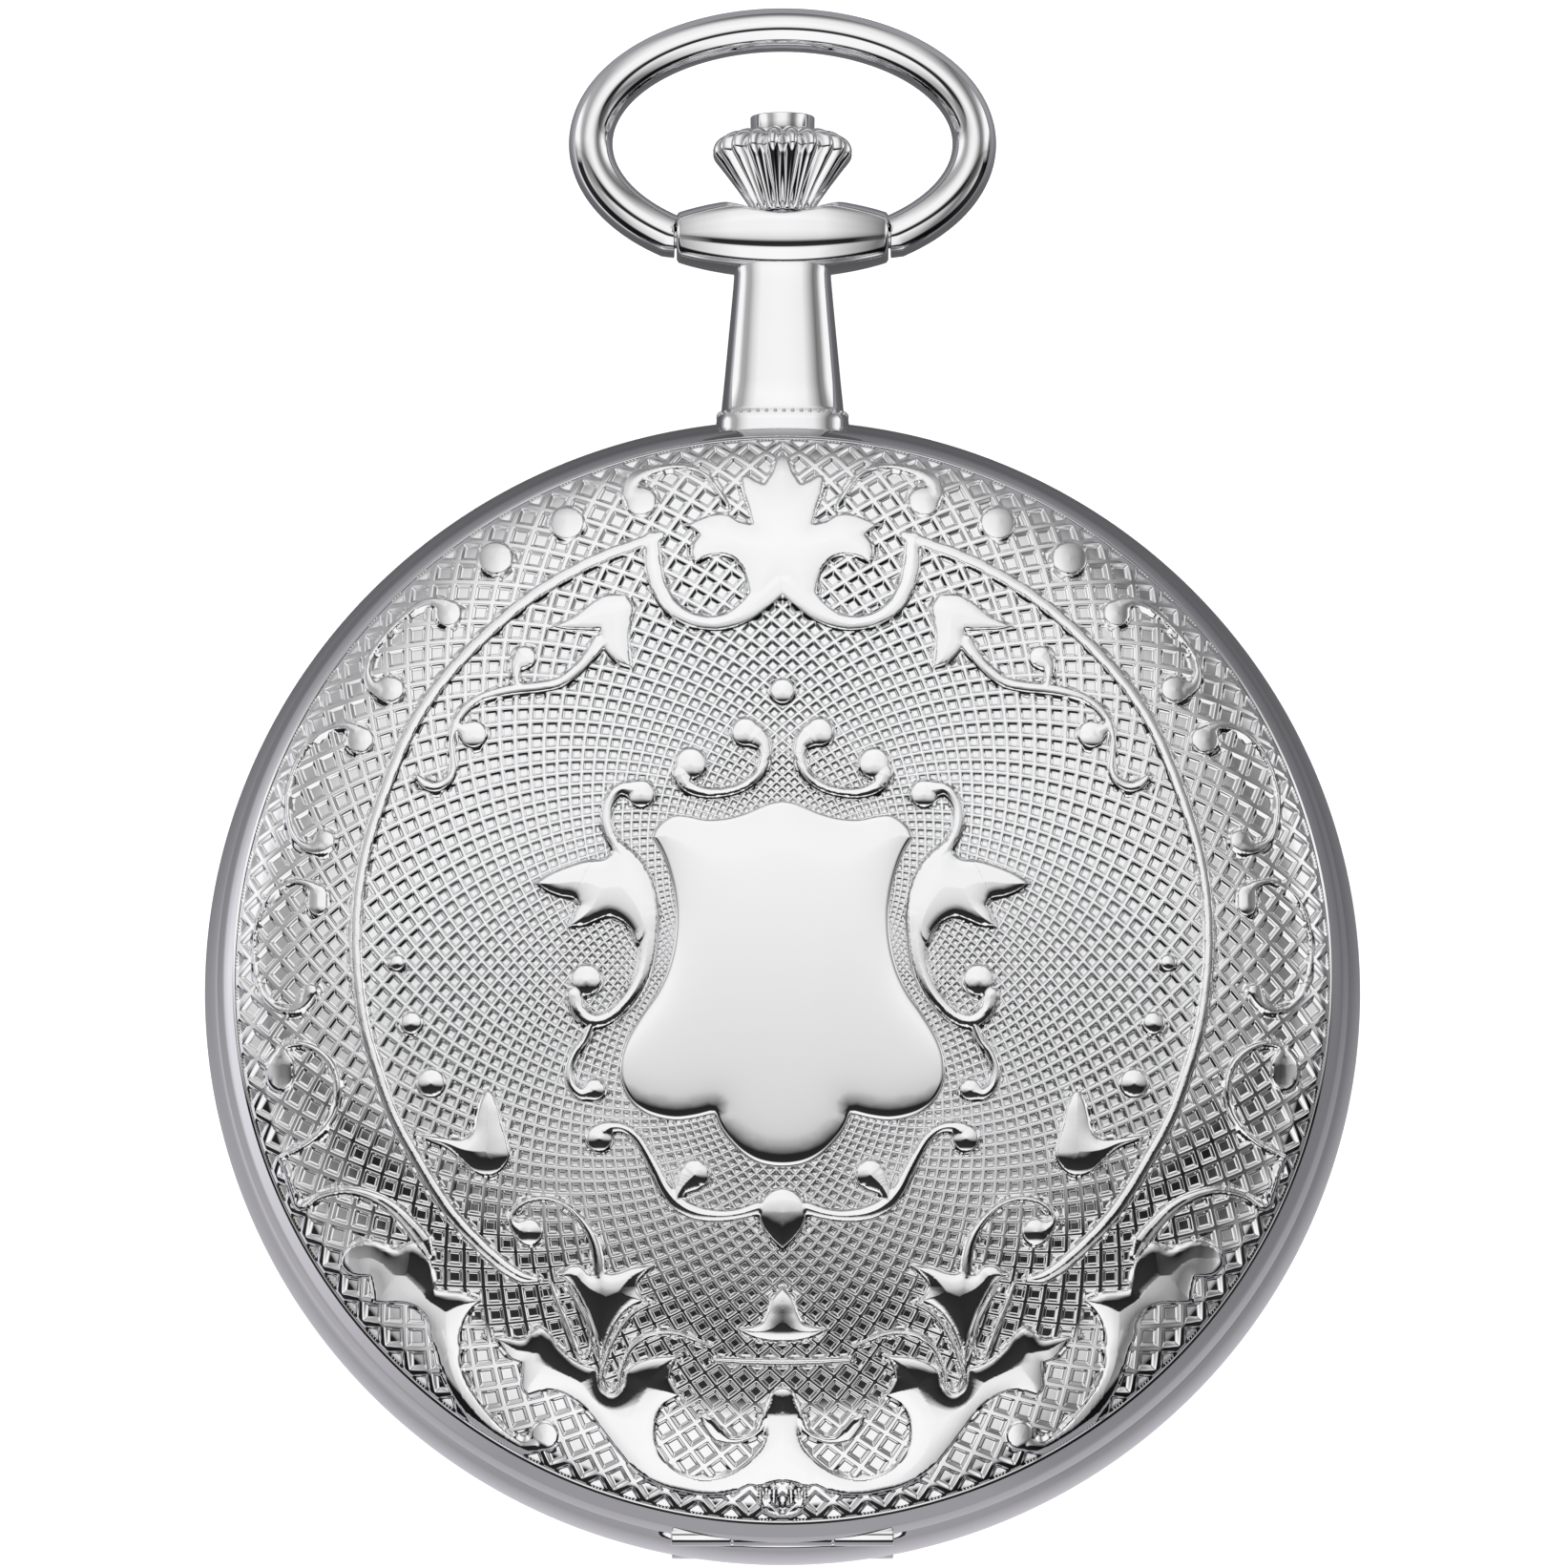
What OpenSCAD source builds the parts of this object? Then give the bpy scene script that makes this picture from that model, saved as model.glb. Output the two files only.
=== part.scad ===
// Hunter pocket watch: a hinged front cover over the dial, a hinged back, a hand-wound movement.
// The watch lies on its back. +Z goes up through the dial and the front cover, +Y runs to the
// pendant at 12 o'clock, and the origin is the centre of the flat face that the back rests on.

/* [Case] */
// Outer radius of the case band
case_r = 23.5; // [23.2:0.1:24.5]
// Half the height of the case band
band_half = 2.1; // [2.1:0.1:2.3]
// Bulge of the band past its two edges
band_bulge = 0.8; // [0.5:0.1:0.9]
// Wall thickness of the two covers
cover_wall = 0.5; // [0.4:0.05:0.6]

/* [Front cover] */
// Height of the dome's rounded shoulder
shoulder_h = 2.2; // [1.6:0.1:2.6]
// Extra rise of the dome from its shoulder to its centre
dome_rise = 0.75; // [0.3:0.05:1]

/* [Pendant and crown] */
// Length of the cross bar that holds the bow
bar_len = 8.7; // [8.2:0.1:9]
// Largest radius of the cross bar
bar_r = 1.55; // [1.5:0.05:1.7]
// Radius of the bow's round wire
wire_r = 0.9; // [0.7:0.05:1]
// Largest radius of the crown
crown_r = 2.87; // [2.5:0.05:3]
// Number of flutes round the crown
flutes = 20; // [16:1:24]

/* [Movement] */
// Radius of the main plate
plate_r = 18.3; // [18.2:0.05:18.35]
// Teeth of the centre wheel
centre_teeth = 80; // [80:1:80]

/* [Hidden] */

// Finer circles for thin round parts
$fn = 96;
tiny = 0.01;

// Heights of the case, from the face it rests on
stem_z = 5.2;                       // the stem's axis and the middle of the band
band_top = stem_z + band_half;
band_bottom = stem_z - band_half;
seam = 0.05;                        // gap between a cover and the band

// Front cover
lid_r = case_r - 0.55;
field_r = case_r - 1.34;            // edge of the embossed field
field_z = stem_z + 3.6;
dome_r = field_r + 0.24;            // where the dome's curve would turn vertical
dome_power = 7;                     // how square the dome's shoulder is

// Openings inside the band
bore_r = case_r - 3.2;
spigot_r = case_r - 2.2;
spigot_h = 0.3;

// Pendant, crown and bow, as distances from the case's centre
bar_y = case_r + 7.65;
bar_end_r = 1.05;
crown_y0 = bar_y + 0.95;
crown_y1 = bar_y + 4.3;
button_y1 = bar_y + 5;
button_r = 1.32;
bow_a = 7.85;                       // half width and half height of the bow's centre line
bow_b = 4.74;
bow_y = bar_y + 3.9;
bow_gap = 0.1;                      // between the bow's ends and the cross bar
bow_pin_r = 0.45;
stem_r = 0.6;
rod_r = 0.22;
pendant_foot = 3;                   // half width of the pendant's foot in the band

// Hinges at 6 o'clock
hinge_y = case_r - 0.95;
knuckle_r = 0.45;
hinge_pin_r = 0.25;
cover_knuckle = 2;                  // half length of the middle knuckle
hinge_half = 4.5;                   // half length of the whole hinge
gap = 0.07;                         // running gap round the knuckles

// Movement heights
plate_z0 = 5.0;
plate_z1 = 6.3;
bridge_z0 = 2.7;
bridge_z1 = 3.5;
wheel_t = 0.18;
dial_z0 = 6.35;
dial_t = 0.4;
dial_r = 19.2;

// Where each arbor stands, seen from the dial
centre_at = [0, 0];
barrel_at = [-7.2, 5.4];
crown_wheel_at = [0, 13.848];
third_at = [5.357, -4.811];
fourth_at = [0, -7.4];
escape_at = [-3.1, -12.2];
pallet_at = [-5.721, -10.362];
balance_at = [-9.8, -7.5];
minute_at = [2.4, 4.157];

// Gear sizes: teeth and module, in pairs that share a centre distance
barrel_gear = [78, 0.2];
centre_pinion = [12, 0.2];
centre_gear = [centre_teeth, 0.16];
third_pinion = [10, 0.16];
third_gear = [75, 0.14];
fourth_pinion = [10, 0.14];
fourth_gear = [80, 0.13];
escape_pinion = [8, 0.13];
ratchet_gear = [70, 0.2];
crown_gear = [41, 0.2];
cannon_gear = [12, 0.2];
minute_gear = [36, 0.2];
minute_pinion = [10, 0.192];
hour_gear = [40, 0.192];
winding_gear = [10, 0.18];
contrate_teeth = 30;
contrate_r = 2.7;
escape_teeth = 15;
escape_r = 2.4;

// Colours
polished = [0.80, 0.80, 0.82];
steel = [0.62, 0.63, 0.66];
brass = [0.83, 0.68, 0.38];
nickel = [0.74, 0.74, 0.73];
blued = [0.10, 0.14, 0.38];
ruby = [0.70, 0.06, 0.16];
enamel = [0.96, 0.96, 0.94];
clear = [0.85, 0.92, 0.95, 0.3];

// ---------- helpers ----------

function angle_to(from, to) = atan2(to[1] - from[1], to[0] - from[0]);
function pitch_r(gear) = gear[0] * gear[1] / 2;

// Height of the front cover's outer face at radius r
function dome_z(r) = field_z + dome_rise * (1 - pow(r / dome_r, 2))
    + shoulder_h * (sqrt(1 - pow(r / dome_r, dome_power)) - sqrt(1 - pow(field_r / dome_r, dome_power)));

// Points of a circular arc
function arc(centre, r, from, to, steps) =
    [for (i = [0:steps]) let (a = from + (to - from) * i / steps) centre + r * [cos(a), sin(a)]];

module turned(points) rotate_extrude($fn = 180) polygon(points);

module ring(r_out, r_in, z0, z1) difference() {
    translate([0, 0, z0]) cylinder(r = r_out, h = z1 - z0);
    translate([0, 0, z0 - 1]) cylinder(r = r_in, h = z1 - z0 + 2);
}

module disc(at, r, z0, z1) translate([at[0], at[1], z0]) cylinder(r = r, h = z1 - z0);

// A cylinder along Y on the stem's axis
module on_stem(y0, y1, r) translate([0, y0, stem_z]) rotate([-90, 0, 0]) cylinder(r = r, h = y1 - y0);

module on_stem_ring(y0, y1, r_out, r_in) difference() {
    on_stem(y0, y1, r_out);
    on_stem(y0 - 1, y1 + 1, r_in);
}

// A cylinder along X
module across(x0, x1, y, z, r) translate([x0, y, z]) rotate([0, 90, 0]) cylinder(r = r, h = x1 - x0);

// Outline of a spur gear with a tooth on the line at angle phase. Slim teeth leave the mesh free.
module gear_outline(gear, phase, slim = 1) {
    teeth = gear[0];
    module_mm = gear[1];
    root = pitch_r(gear) - 1.2 * module_mm;
    tip = pitch_r(gear) + 0.85 * module_mm;
    pitch = 360 / teeth;
    polygon([for (i = [0:teeth - 1])
        for (corner = [[root, -0.27], [tip, -0.11], [tip, 0.11], [root, 0.27]])
            let (a = phase + pitch * (i + corner[1] * slim)) corner[0] * [cos(a), sin(a)]]);
}

// A thin wheel with crossings between its hub and rim
module wheel(gear, at, z, phase, spokes, slim = 1, t = wheel_t) {
    rim_in = pitch_r(gear) - 4 * gear[1];
    hub = 1.25;
    translate([at[0], at[1], z]) linear_extrude(t) difference() {
        gear_outline(gear, phase, slim);
        for (s = [0:spokes - 1]) {
            half = 180 / spokes - 8;
            a = 360 / spokes * (s + 0.5) + phase;
            polygon(concat(arc([0, 0], hub, a - half + 9, a + half - 9, 5),
                           arc([0, 0], rim_in, a + half, a - half, 12)));
        }
    }
}

module pinion(gear, at, z0, z1, phase)
    translate([at[0], at[1], z0]) linear_extrude(z1 - z0) gear_outline(gear, phase, 0.8);

// An arbor with thin pivots at both ends
module arbor(at, z0, z1, r, pivot = 0.1, pivot_len = 0.4) {
    disc(at, r, z0, z1);
    disc(at, pivot, z0 - pivot_len, z1 + pivot_len);
}

module slotted_screw(at, r, head_z, head_h, shank_to) difference() {
    union() {
        disc(at, r, head_z, head_z + head_h);
        disc(at, r * 0.55, head_z + head_h - tiny, shank_to);
    }
    translate([at[0] - r - 1, at[1] - 0.09, head_z - 1]) cube([2 * r + 2, 0.18, 1 + head_h * 0.5]);
}

// ---------- hinges at 6 o'clock ----------

module hinge_line(z, r, x0, x1) {
    across(x0, x1, -hinge_y, z, r);
    mirror([1, 0, 0]) across(x0, x1, -hinge_y, z, r);
}

// Room for the cover's knuckle in the band, and for the band's two knuckles in the cover
module cover_knuckle_room(z) across(-cover_knuckle - gap, cover_knuckle + gap, -hinge_y, z,
    knuckle_r + gap);
module band_knuckle_room(z) {
    hinge_line(z, knuckle_r + gap, cover_knuckle - tiny, hinge_half + gap);
    translate([-hinge_half - gap, -case_r - 1, z - 1]) cube([2 * (hinge_half + gap),
        case_r + 1 - hinge_y - 0.1, 2]);
}

module band_knuckles(z) hinge_line(z, knuckle_r, cover_knuckle + gap, hinge_half);
module pin_bore(z, r) across(-hinge_half - 1, hinge_half + 1, -hinge_y, z, r);

front_hinge_z = band_top + seam / 2;
back_hinge_z = band_bottom - seam / 2;

// ---------- case ----------

module band_ring() {
    bulge_r = (band_half * band_half + band_bulge * band_bulge) / (2 * band_bulge);
    half = asin(band_half / bulge_r);
    turned(concat(
        arc([case_r - bulge_r, stem_z], bulge_r, -half, half, 12),
        [[spigot_r, band_top], [spigot_r, band_top + spigot_h], [bore_r, band_top + spigot_h],
         [bore_r, band_bottom - spigot_h], [spigot_r, band_bottom - spigot_h], [spigot_r, band_bottom]]));
}

module foot_block() translate([-pendant_foot, bore_r + 0.9, band_bottom])
    cube([2 * pendant_foot, 4, 2 * band_half]);

module case_middle() color(polished) difference() {
    union() {
        band_ring();
        band_knuckles(front_hinge_z);
        band_knuckles(back_hinge_z);
    }
    foot_block();
    cover_knuckle_room(front_hinge_z);
    cover_knuckle_room(back_hinge_z);
    pin_bore(front_hinge_z, hinge_pin_r);
    pin_bore(back_hinge_z, hinge_pin_r);
    on_stem(bore_r - 2, case_r, 1);
}

// Oval neck, wider at its foot
module neck() hull() {
    translate([0, case_r - 0.5, stem_z]) rotate([-90, 0, 0]) linear_extrude(0.1) scale([2.7, 2.02])
        circle(r = 1, $fn = 48);
    translate([0, bar_y - 1.1, stem_z]) rotate([-90, 0, 0]) linear_extrude(0.1) scale([2, 1.6])
        circle(r = 1, $fn = 48);
}

// Barrel-shaped bar along X
module cross_bar() translate([0, bar_y, stem_z]) rotate([0, 90, 0]) {
    sag = bar_r - bar_end_r;
    half = bar_len / 2;
    curve_r = (half * half + sag * sag) / (2 * sag);
    span = asin(half / curve_r);
    rotate_extrude() polygon(concat([[0, -half]], arc([bar_r - curve_r, 0], curve_r, -span, span, 14),
        [[0, half]]));
}

module pendant() color(polished) difference() {
    union() {
        intersection() {
            band_ring();
            foot_block();
        }
        neck();
        cross_bar();
    }
    on_stem(bore_r - 2, bar_y + 3, 1);
    translate([0, crown_y0 - 0.15, stem_z]) rotate([-90, 0, 0]) cylinder(r1 = 1.45, r2 = 2.6, h = 1.6);
    for (side = [-1, 1]) across(side * (bar_len / 2 - 0.5) - 0.7, side * (bar_len / 2 - 0.5) + 0.7,
        bar_y, stem_z, bow_pin_r + 0.03);
}

module pendant_sleeve() color(brass) on_stem_ring(case_r + 1.6, bar_y + 0.6, 1, stem_r + 0.04);

// A point of the bow's centre line and the direction across it, at angle a of its ellipse
function bow_point(a) = [bow_a * cos(a), bow_y + bow_b * sin(a)];
function bow_across(a) = let (d = [bow_b * cos(a), bow_a * sin(a)]) d / norm(d);

// Round wire bent to an open ellipse, with its two ends cut square to the cross bar
module bow_wire() {
    end_x = bar_len / 2 + bow_gap;
    from = asin(end_x / bow_a) - 90;
    steps = 72;
    sides = 32;
    rings = [for (i = [0:steps]) let (a = from + (180 - 2 * from) * i / steps, p = bow_point(a),
        n = bow_across(a))
        for (s = [0:sides - 1]) let (b = 360 * s / sides, out = wire_r * cos(b))
            [i == 0 ? end_x : i == steps ? -end_x : p[0] + n[0] * out, p[1] + n[1] * out,
                stem_z + wire_r * sin(b)]];
    last = steps * sides;
    polyhedron(rings, concat(
        [[for (s = [sides - 1:-1:0]) s]],
        [for (i = [0:steps - 1]) for (s = [0:sides - 1]) let (t = (s + 1) % sides)
            [i * sides + s, i * sides + t, (i + 1) * sides + t, (i + 1) * sides + s]],
        [[for (s = [0:sides - 1]) last + s]]));
}

module bow() color(polished) {
    bow_wire();
    end_x = bar_len / 2 + bow_gap;
    for (side = [0, 1]) mirror([side, 0, 0]) across(end_x - 0.9, end_x + 0.3, bar_y, stem_z, bow_pin_r);
}

module crown_profile() turned_y() polygon(concat(
    [[0, crown_y0], [1.3, crown_y0]],
    [[1.5, crown_y0 + 0.45], [crown_r - 0.2, crown_y0 + 2.05]],
    arc([crown_r - 0.75, crown_y0 + 2.3], 0.75, -20, 65, 6),
    [[1.65, crown_y1 - 0.05], [1.5, crown_y1], [0, crown_y1]]));

// Turns a profile of [radius, y] about the stem's axis
module turned_y() translate([0, 0, stem_z]) rotate([-90, 0, 0]) rotate_extrude() children();

module crown() color(polished) difference() {
    crown_profile();
    for (i = [0:flutes - 1]) translate([0, 0, stem_z]) rotate([0, 360 / flutes * i, 0])
        translate([1.6, crown_y0 + 0.2, 0]) rotate([-90, 0, -35])
            cylinder(r1 = 0.16, r2 = 0.32, h = 3.2, $fn = 24);
    on_stem(crown_y0 - 1, crown_y1 - 0.75, stem_r);
    on_stem(crown_y1 - 0.7, crown_y1 + 1, button_r + 0.04);
    on_stem(crown_y1 - 1.5, crown_y1, rod_r + 0.05);
}

module crown_button() color(steel) {
    on_stem(crown_y1 - 0.15, button_y1, button_r);
    on_stem(case_r + 0.1, crown_y1 - 0.1, rod_r);
}

module winding_stem() color(steel) difference() {
    union() {
        on_stem(case_r - 0.9, crown_y1 - 0.76, stem_r);
        on_stem(11, case_r - 0.9, 0.45);
    }
    on_stem(case_r - 0.9 + 0.4, crown_y1, rod_r + 0.05);
}

module stem_ring() color(brass) on_stem_ring(case_r + 0.1, case_r + 0.5, 0.97, stem_r + 0.03);

// ---------- covers ----------

module cover_shell(outer, inner) turned(concat(outer, inner));

module front_cover() color(polished) {
    steps = 18;
    radii = [for (i = [0:steps]) field_r * (1 - pow(1 - i / steps, 2))];
    outer = concat(
        [for (i = [0:steps]) [radii[i], dome_z(radii[i])]],
        arc([lid_r - 0.75, field_z - 1], 0.75, 60, 0, 5),
        [[lid_r, band_top + seam]]);
    shrink = (field_r - 0.2) / field_r;
    inner = concat(
        [[lid_r - 0.65, band_top + seam], [lid_r - 0.65, field_z - 0.9]],
        [for (i = [steps:-1:0]) [radii[i] * shrink - (i == steps ? 0.3 : 0), dome_z(radii[i])
            - cover_wall]]);
    difference() {
        union() {
            difference() {
                cover_shell(outer, inner);
                band_knuckle_room(front_hinge_z);
            }
            across(-cover_knuckle, cover_knuckle, -hinge_y, front_hinge_z, knuckle_r);
            // lip that the catch holds, at 12 o'clock
            intersection() {
                ring(lid_r - 0.6, lid_r - 0.9, band_top + 0.1, band_top + 0.4);
                translate([-1.5, 0, 0]) cube([3, 30, 20]);
            }
        }
        pin_bore(front_hinge_z, hinge_pin_r + 0.03);
    }
}

module hinge_pin(z) across(-hinge_half, hinge_half, -hinge_y, z, hinge_pin_r);
module front_hinge_pin() color(steel) hinge_pin(front_hinge_z);
module back_hinge_pin() color(steel) hinge_pin(back_hinge_z);

// A curved spring strip that lies in the gap inside the cover
module strip(from, to, z0, z1) translate([0, 0, z0]) linear_extrude(z1 - z0)
    polygon(concat(arc([0, 0], lid_r - 1.1, from, to, 16), arc([0, 0], lid_r - 1.4, to, from, 16)));

module catch_spring() color(steel) {
    strip(88, 150, band_top + 0.1, band_top + 0.8);
    // hook over the cover's lip
    translate([0, 0, band_top + 0.5]) linear_extrude(0.3)
        polygon(concat(arc([0, 0], lid_r - 0.94, 87, 93, 3), arc([0, 0], lid_r - 1.4, 93, 87, 3)));
}

module lift_spring() color(steel) strip(205, 258, band_top + 0.1, band_top + 0.7);

module back_cover() color(polished) {
    flat_r = 15;
    steps = 14;
    rise = band_bottom - seam;
    // from the flat centre up a rounded edge to the rim
    outer = [for (i = [0:steps]) let (a = 90 * i / steps)
        [flat_r + (lid_r - flat_r) * pow(sin(a), 0.8), rise * 0.75 * pow(1 - cos(a), 1.2)]];
    inner = [for (p = outer) [p[0] * (lid_r - 0.65) / lid_r, p[1] + cover_wall]];
    difference() {
        union() {
            difference() {
                cover_shell(concat([[0, 0]], outer, [[lid_r, rise]]),
                    concat([[lid_r - 0.65, rise]], [for (i = [steps:-1:0]) inner[i]], [[0, cover_wall]]));
                band_knuckle_room(back_hinge_z);
            }
            across(-cover_knuckle, cover_knuckle, -hinge_y, back_hinge_z, knuckle_r);
        }
        pin_bore(back_hinge_z, hinge_pin_r + 0.03);
    }
}

// ---------- glass, dial surround and movement ring ----------

glass_r = 19.6;

module front_bezel() color(polished) {
    z = band_top + spigot_h;
    turned([[spigot_r, z], [spigot_r, z + 0.35], [spigot_r - 0.5, z + 0.8], [glass_r - 0.4, z + 0.8],
        [glass_r - 0.6, z + 0.6], [glass_r, z + 0.6], [glass_r, z]]);
}

// A thin domed glass. Its rim stands between z and z + 0.55.
module glass(z, rise) {
    lip = glass_r - 0.65;
    curve_r = (lip * lip + rise * rise) / (2 * rise);
    span = asin(lip / curve_r);
    turned(concat([[0, z + 0.1]], [[glass_r - 1.6, z + 0.1], [glass_r - 1.4, z], [glass_r, z],
        [glass_r, z + 0.55]],
        arc([0, z + 0.55 + rise - curve_r], curve_r, 90 - span, 90, 16)));
}

module front_crystal() color(clear) glass(band_top + spigot_h + 0.04, 0.85);

module dial_surround() color(polished) {
    z = dial_z0 + dial_t;
    turned([[bore_r, z], [bore_r, band_top + spigot_h], [glass_r - 0.2, band_top + spigot_h],
        [dial_r - 0.7, z + 0.1], [dial_r - 0.7, z]]);
}

module rear_bezel() color(polished) {
    z = band_bottom - spigot_h;
    turned([[spigot_r, z], [spigot_r - 0.2, z - 0.9], [spigot_r - 0.9, z - 1.55],
        [spigot_r - 1.4, z - 1.85],
        [glass_r - 0.6, z - 1.85], [glass_r - 0.6, z - 1.75], [glass_r, z - 1.75], [glass_r, z]]);
}

module rear_crystal() color(clear) ring_disc(glass_r, band_bottom - spigot_h - 1.75,
    band_bottom - spigot_h - 1.3);
module ring_disc(r, z0, z1) translate([0, 0, z0]) cylinder(r = r, h = z1 - z0);

module movement_ring() color(nickel) difference() {
    ring(bore_r, plate_r + 0.05, 3.4, plate_z1);
    on_stem(plate_r - 1, bore_r + 1, 0.9);
    for (side = [-1, 1]) disc([side * (plate_r - 0.1), 0], 1.1, 3, 4.6);
}

module case_screws() color(blued) for (side = [-1, 1]) slotted_screw([side * (plate_r - 0.15), 0], 1,
    3.7, 0.3, 4.6);

// ---------- dial and hands ----------

module dial() color(enamel) difference() {
    disc([0, 0], dial_r, dial_z0, dial_z0 + dial_t);
    disc(fourth_at, 4.6, dial_z0 + dial_t - 0.12, 8);
    disc([0, 0], 1.25, 6, 8);
    disc(fourth_at, 0.35, 6, 8);
}

// A spade hand, pointing along +Y from its hub
module spade(len, bulb_at, bulb_r, hub_r, width) difference() {
    union() {
        circle(r = hub_r);
        polygon([[-width / 2, 0], [width / 2, 0], [width / 2, bulb_at], [-width / 2, bulb_at]]);
        translate([0, bulb_at]) circle(r = bulb_r, $fn = 48);
        polygon([[-bulb_r * 0.8, bulb_at + bulb_r * 0.6], [bulb_r * 0.8, bulb_at + bulb_r * 0.6],
            [0.08, len], [-0.08, len]]);
        polygon([[-0.22, 0], [0.22, 0], [0.3, -2.2], [-0.3, -2.2]]);
    }
    translate([0, bulb_at]) circle(r = bulb_r * 0.45, $fn = 32);
}

hour_angle = 54.75;                 // counter-clockwise from 12, so the hands show 10 past 10
hour_z = 7.1;
minute_z = 7.4;

module hour_hand() color(blued) translate([0, 0, hour_z]) difference() {
    linear_extrude(0.1) rotate(hour_angle) spade(9.2, 6, 1.2, 1.25, 0.5);
    translate([0, 0, -1]) cylinder(r = 0.85, h = 3);
}

module minute_hand() color(blued) translate([0, 0, minute_z]) difference() {
    linear_extrude(0.1) rotate(-63) spade(14.2, 9.6, 0.9, 1, 0.42);
    translate([0, 0, -1]) cylinder(r = 0.4, h = 3);
}

module seconds_hand() color(blued) translate([fourth_at[0], fourth_at[1], dial_z0 + dial_t + 0.08])
    linear_extrude(0.08) {
    difference() {
        circle(r = 0.42, $fn = 32);
        circle(r = 0.12, $fn = 16);
    }
    for (s = [0, 1]) mirror([0, s]) polygon([[-0.13, 0.35], [0.13, 0.35], [0.05, s ? 1.5 : 3.9],
        [-0.05, s ? 1.5 : 3.9]]);
}

// ---------- plates and bridges ----------

jewel_r = 0.6;
keyless_slot = 1.35;

module main_plate() color(nickel) difference() {
    disc([0, 0], plate_r, plate_z0, plate_z1);
    // motion work, keyless work and stem are let into the dial side
    disc([0, 0], 4.15, plate_z0 + 0.65, 8);
    disc(minute_at, 4, plate_z0 + 0.65, 8);
    translate([-keyless_slot, 10.6, 4]) cube([2 * keyless_slot, 9, 4]);
    translate([0, 12.4, plate_z0 + 0.75]) cube([7.4, 4.4, 2]);
    disc([0, 0], 0.6, 4, 8);
    for (at = [third_at, escape_at, pallet_at, balance_at]) disc(at, jewel_r, 4, 8);
    disc(fourth_at, jewel_r, 4, 8);
    disc(barrel_at, 0.95, 4, 8);
    // sinks for the barrel and the case screws
    disc(barrel_at, 8.3, 4, plate_z0 + 0.1);
    for (at = bridge_posts) disc(at, 0.5, 4, plate_z0 + 0.8);
}

barrel_posts = [[6.6, 14.6], [14.6, 3.6], [-14.2, -0.9], [-5.7, 15.6]];
train_posts = [[12.5, -9], [14.4, -1.6], [6, -15.2]];
cock_post = [-15.6, -5.2];
pallet_post = [-7.4, -12.9];
bridge_posts = concat(barrel_posts, train_posts, [cock_post, pallet_post]);
bridge_edge = plate_r - 0.7;

// A bridge: a flat outline that stands on round posts and takes screws
module bridge(posts, z0, z1, post_r = 1.15) difference() {
    union() {
        translate([0, 0, z0]) linear_extrude(z1 - z0) intersection() {
            circle(r = bridge_edge);
            children();
        }
        for (at = posts) disc(at, post_r, z1 - tiny, plate_z0);
    }
    for (at = posts) {
        disc(at, 0.88, z0 - 1, z0 + 0.35);
        disc(at, 0.5, z0, plate_z0 + 1);
    }
}

module barrel_bridge() color(nickel) difference() {
    bridge(barrel_posts, bridge_z0, bridge_z1)
        polygon([[-18, 1.9], [-16.6, -2.2], [-12.4, -2.2], [-11, 0.6], [-5, 1.9], [3.4, 1.9], [6, 1.2],
            [18, 1.2], [18, 19], [-18, 19]]);
    disc(barrel_at, 1.0, 2, 4);
    disc(crown_wheel_at, 1.35, 2, 4);
    disc(click_at, 0.36, 2, 4);
}

module train_bridge() color(nickel) difference() {
    bridge(train_posts, bridge_z0, bridge_z1)
        polygon([[-2, 1.7], [3.3, 1.7], [5.9, 1], [18, 1], [18, -17], [6, -18], [-1.6, -15.4],
            [-5.6, -13.8], [-5.3, -11.4],
            [-2.4, -9.2], [-2.4, -5]]);
    disc([0, 0], jewel_r, 2, 4);
    for (at = [third_at, fourth_at, escape_at]) disc(at, jewel_r, 2, 4);
}

cock_z0 = 1.95;
cock_z1 = 2.65;

module balance_cock() color(nickel) difference() {
    union() {
        bridge([cock_post], cock_z0, cock_z1, 1.3) hull() {
            translate(cock_post) circle(r = 1.9);
            translate(balance_at) circle(r = 1.7);
        }
    }
    disc(balance_at, jewel_r, 1, 3);
}

module pallet_cock() color(nickel) difference() {
    bridge([pallet_post], 3.55, 3.95, 0.9) hull() {
        translate(pallet_post) circle(r = 1.1);
        translate(pallet_at) circle(r = 0.85);
    }
    disc(pallet_at, 0.45, 3, 4.2);
}

module bridge_screws() color(blued) {
    for (at = concat(barrel_posts, train_posts)) slotted_screw(at, 0.85, bridge_z0 - 0.05, 0.35,
        plate_z0 + 0.7);
    slotted_screw(cock_post, 0.85, cock_z0 - 0.05, 0.35, plate_z0 + 0.7);
    slotted_screw(pallet_post, 0.8, 3.52, 0.3, plate_z0 + 0.7);
}

// Ruby rings pressed into the plate and bridges
module jewel(at, z0, z1, r = jewel_r) translate([at[0], at[1], 0]) ring(r, 0.13, z0, z1);
module jewels() color(ruby) {
    for (at = [third_at, fourth_at, escape_at]) jewel(at, bridge_z1 - 0.45, bridge_z1);
    jewel([0, 0], bridge_z1 - 0.45, bridge_z1);
    for (at = [third_at, escape_at, pallet_at, balance_at]) jewel(at, plate_z0, plate_z0 + 0.4);
    jewel(balance_at, cock_z0 + 0.05, cock_z1);
    jewel(pallet_at, 3.55, 3.95, 0.45);
}

// ---------- barrel and winding ----------

barrel_z0 = 3.58;
barrel_z1 = 4.6;

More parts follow.
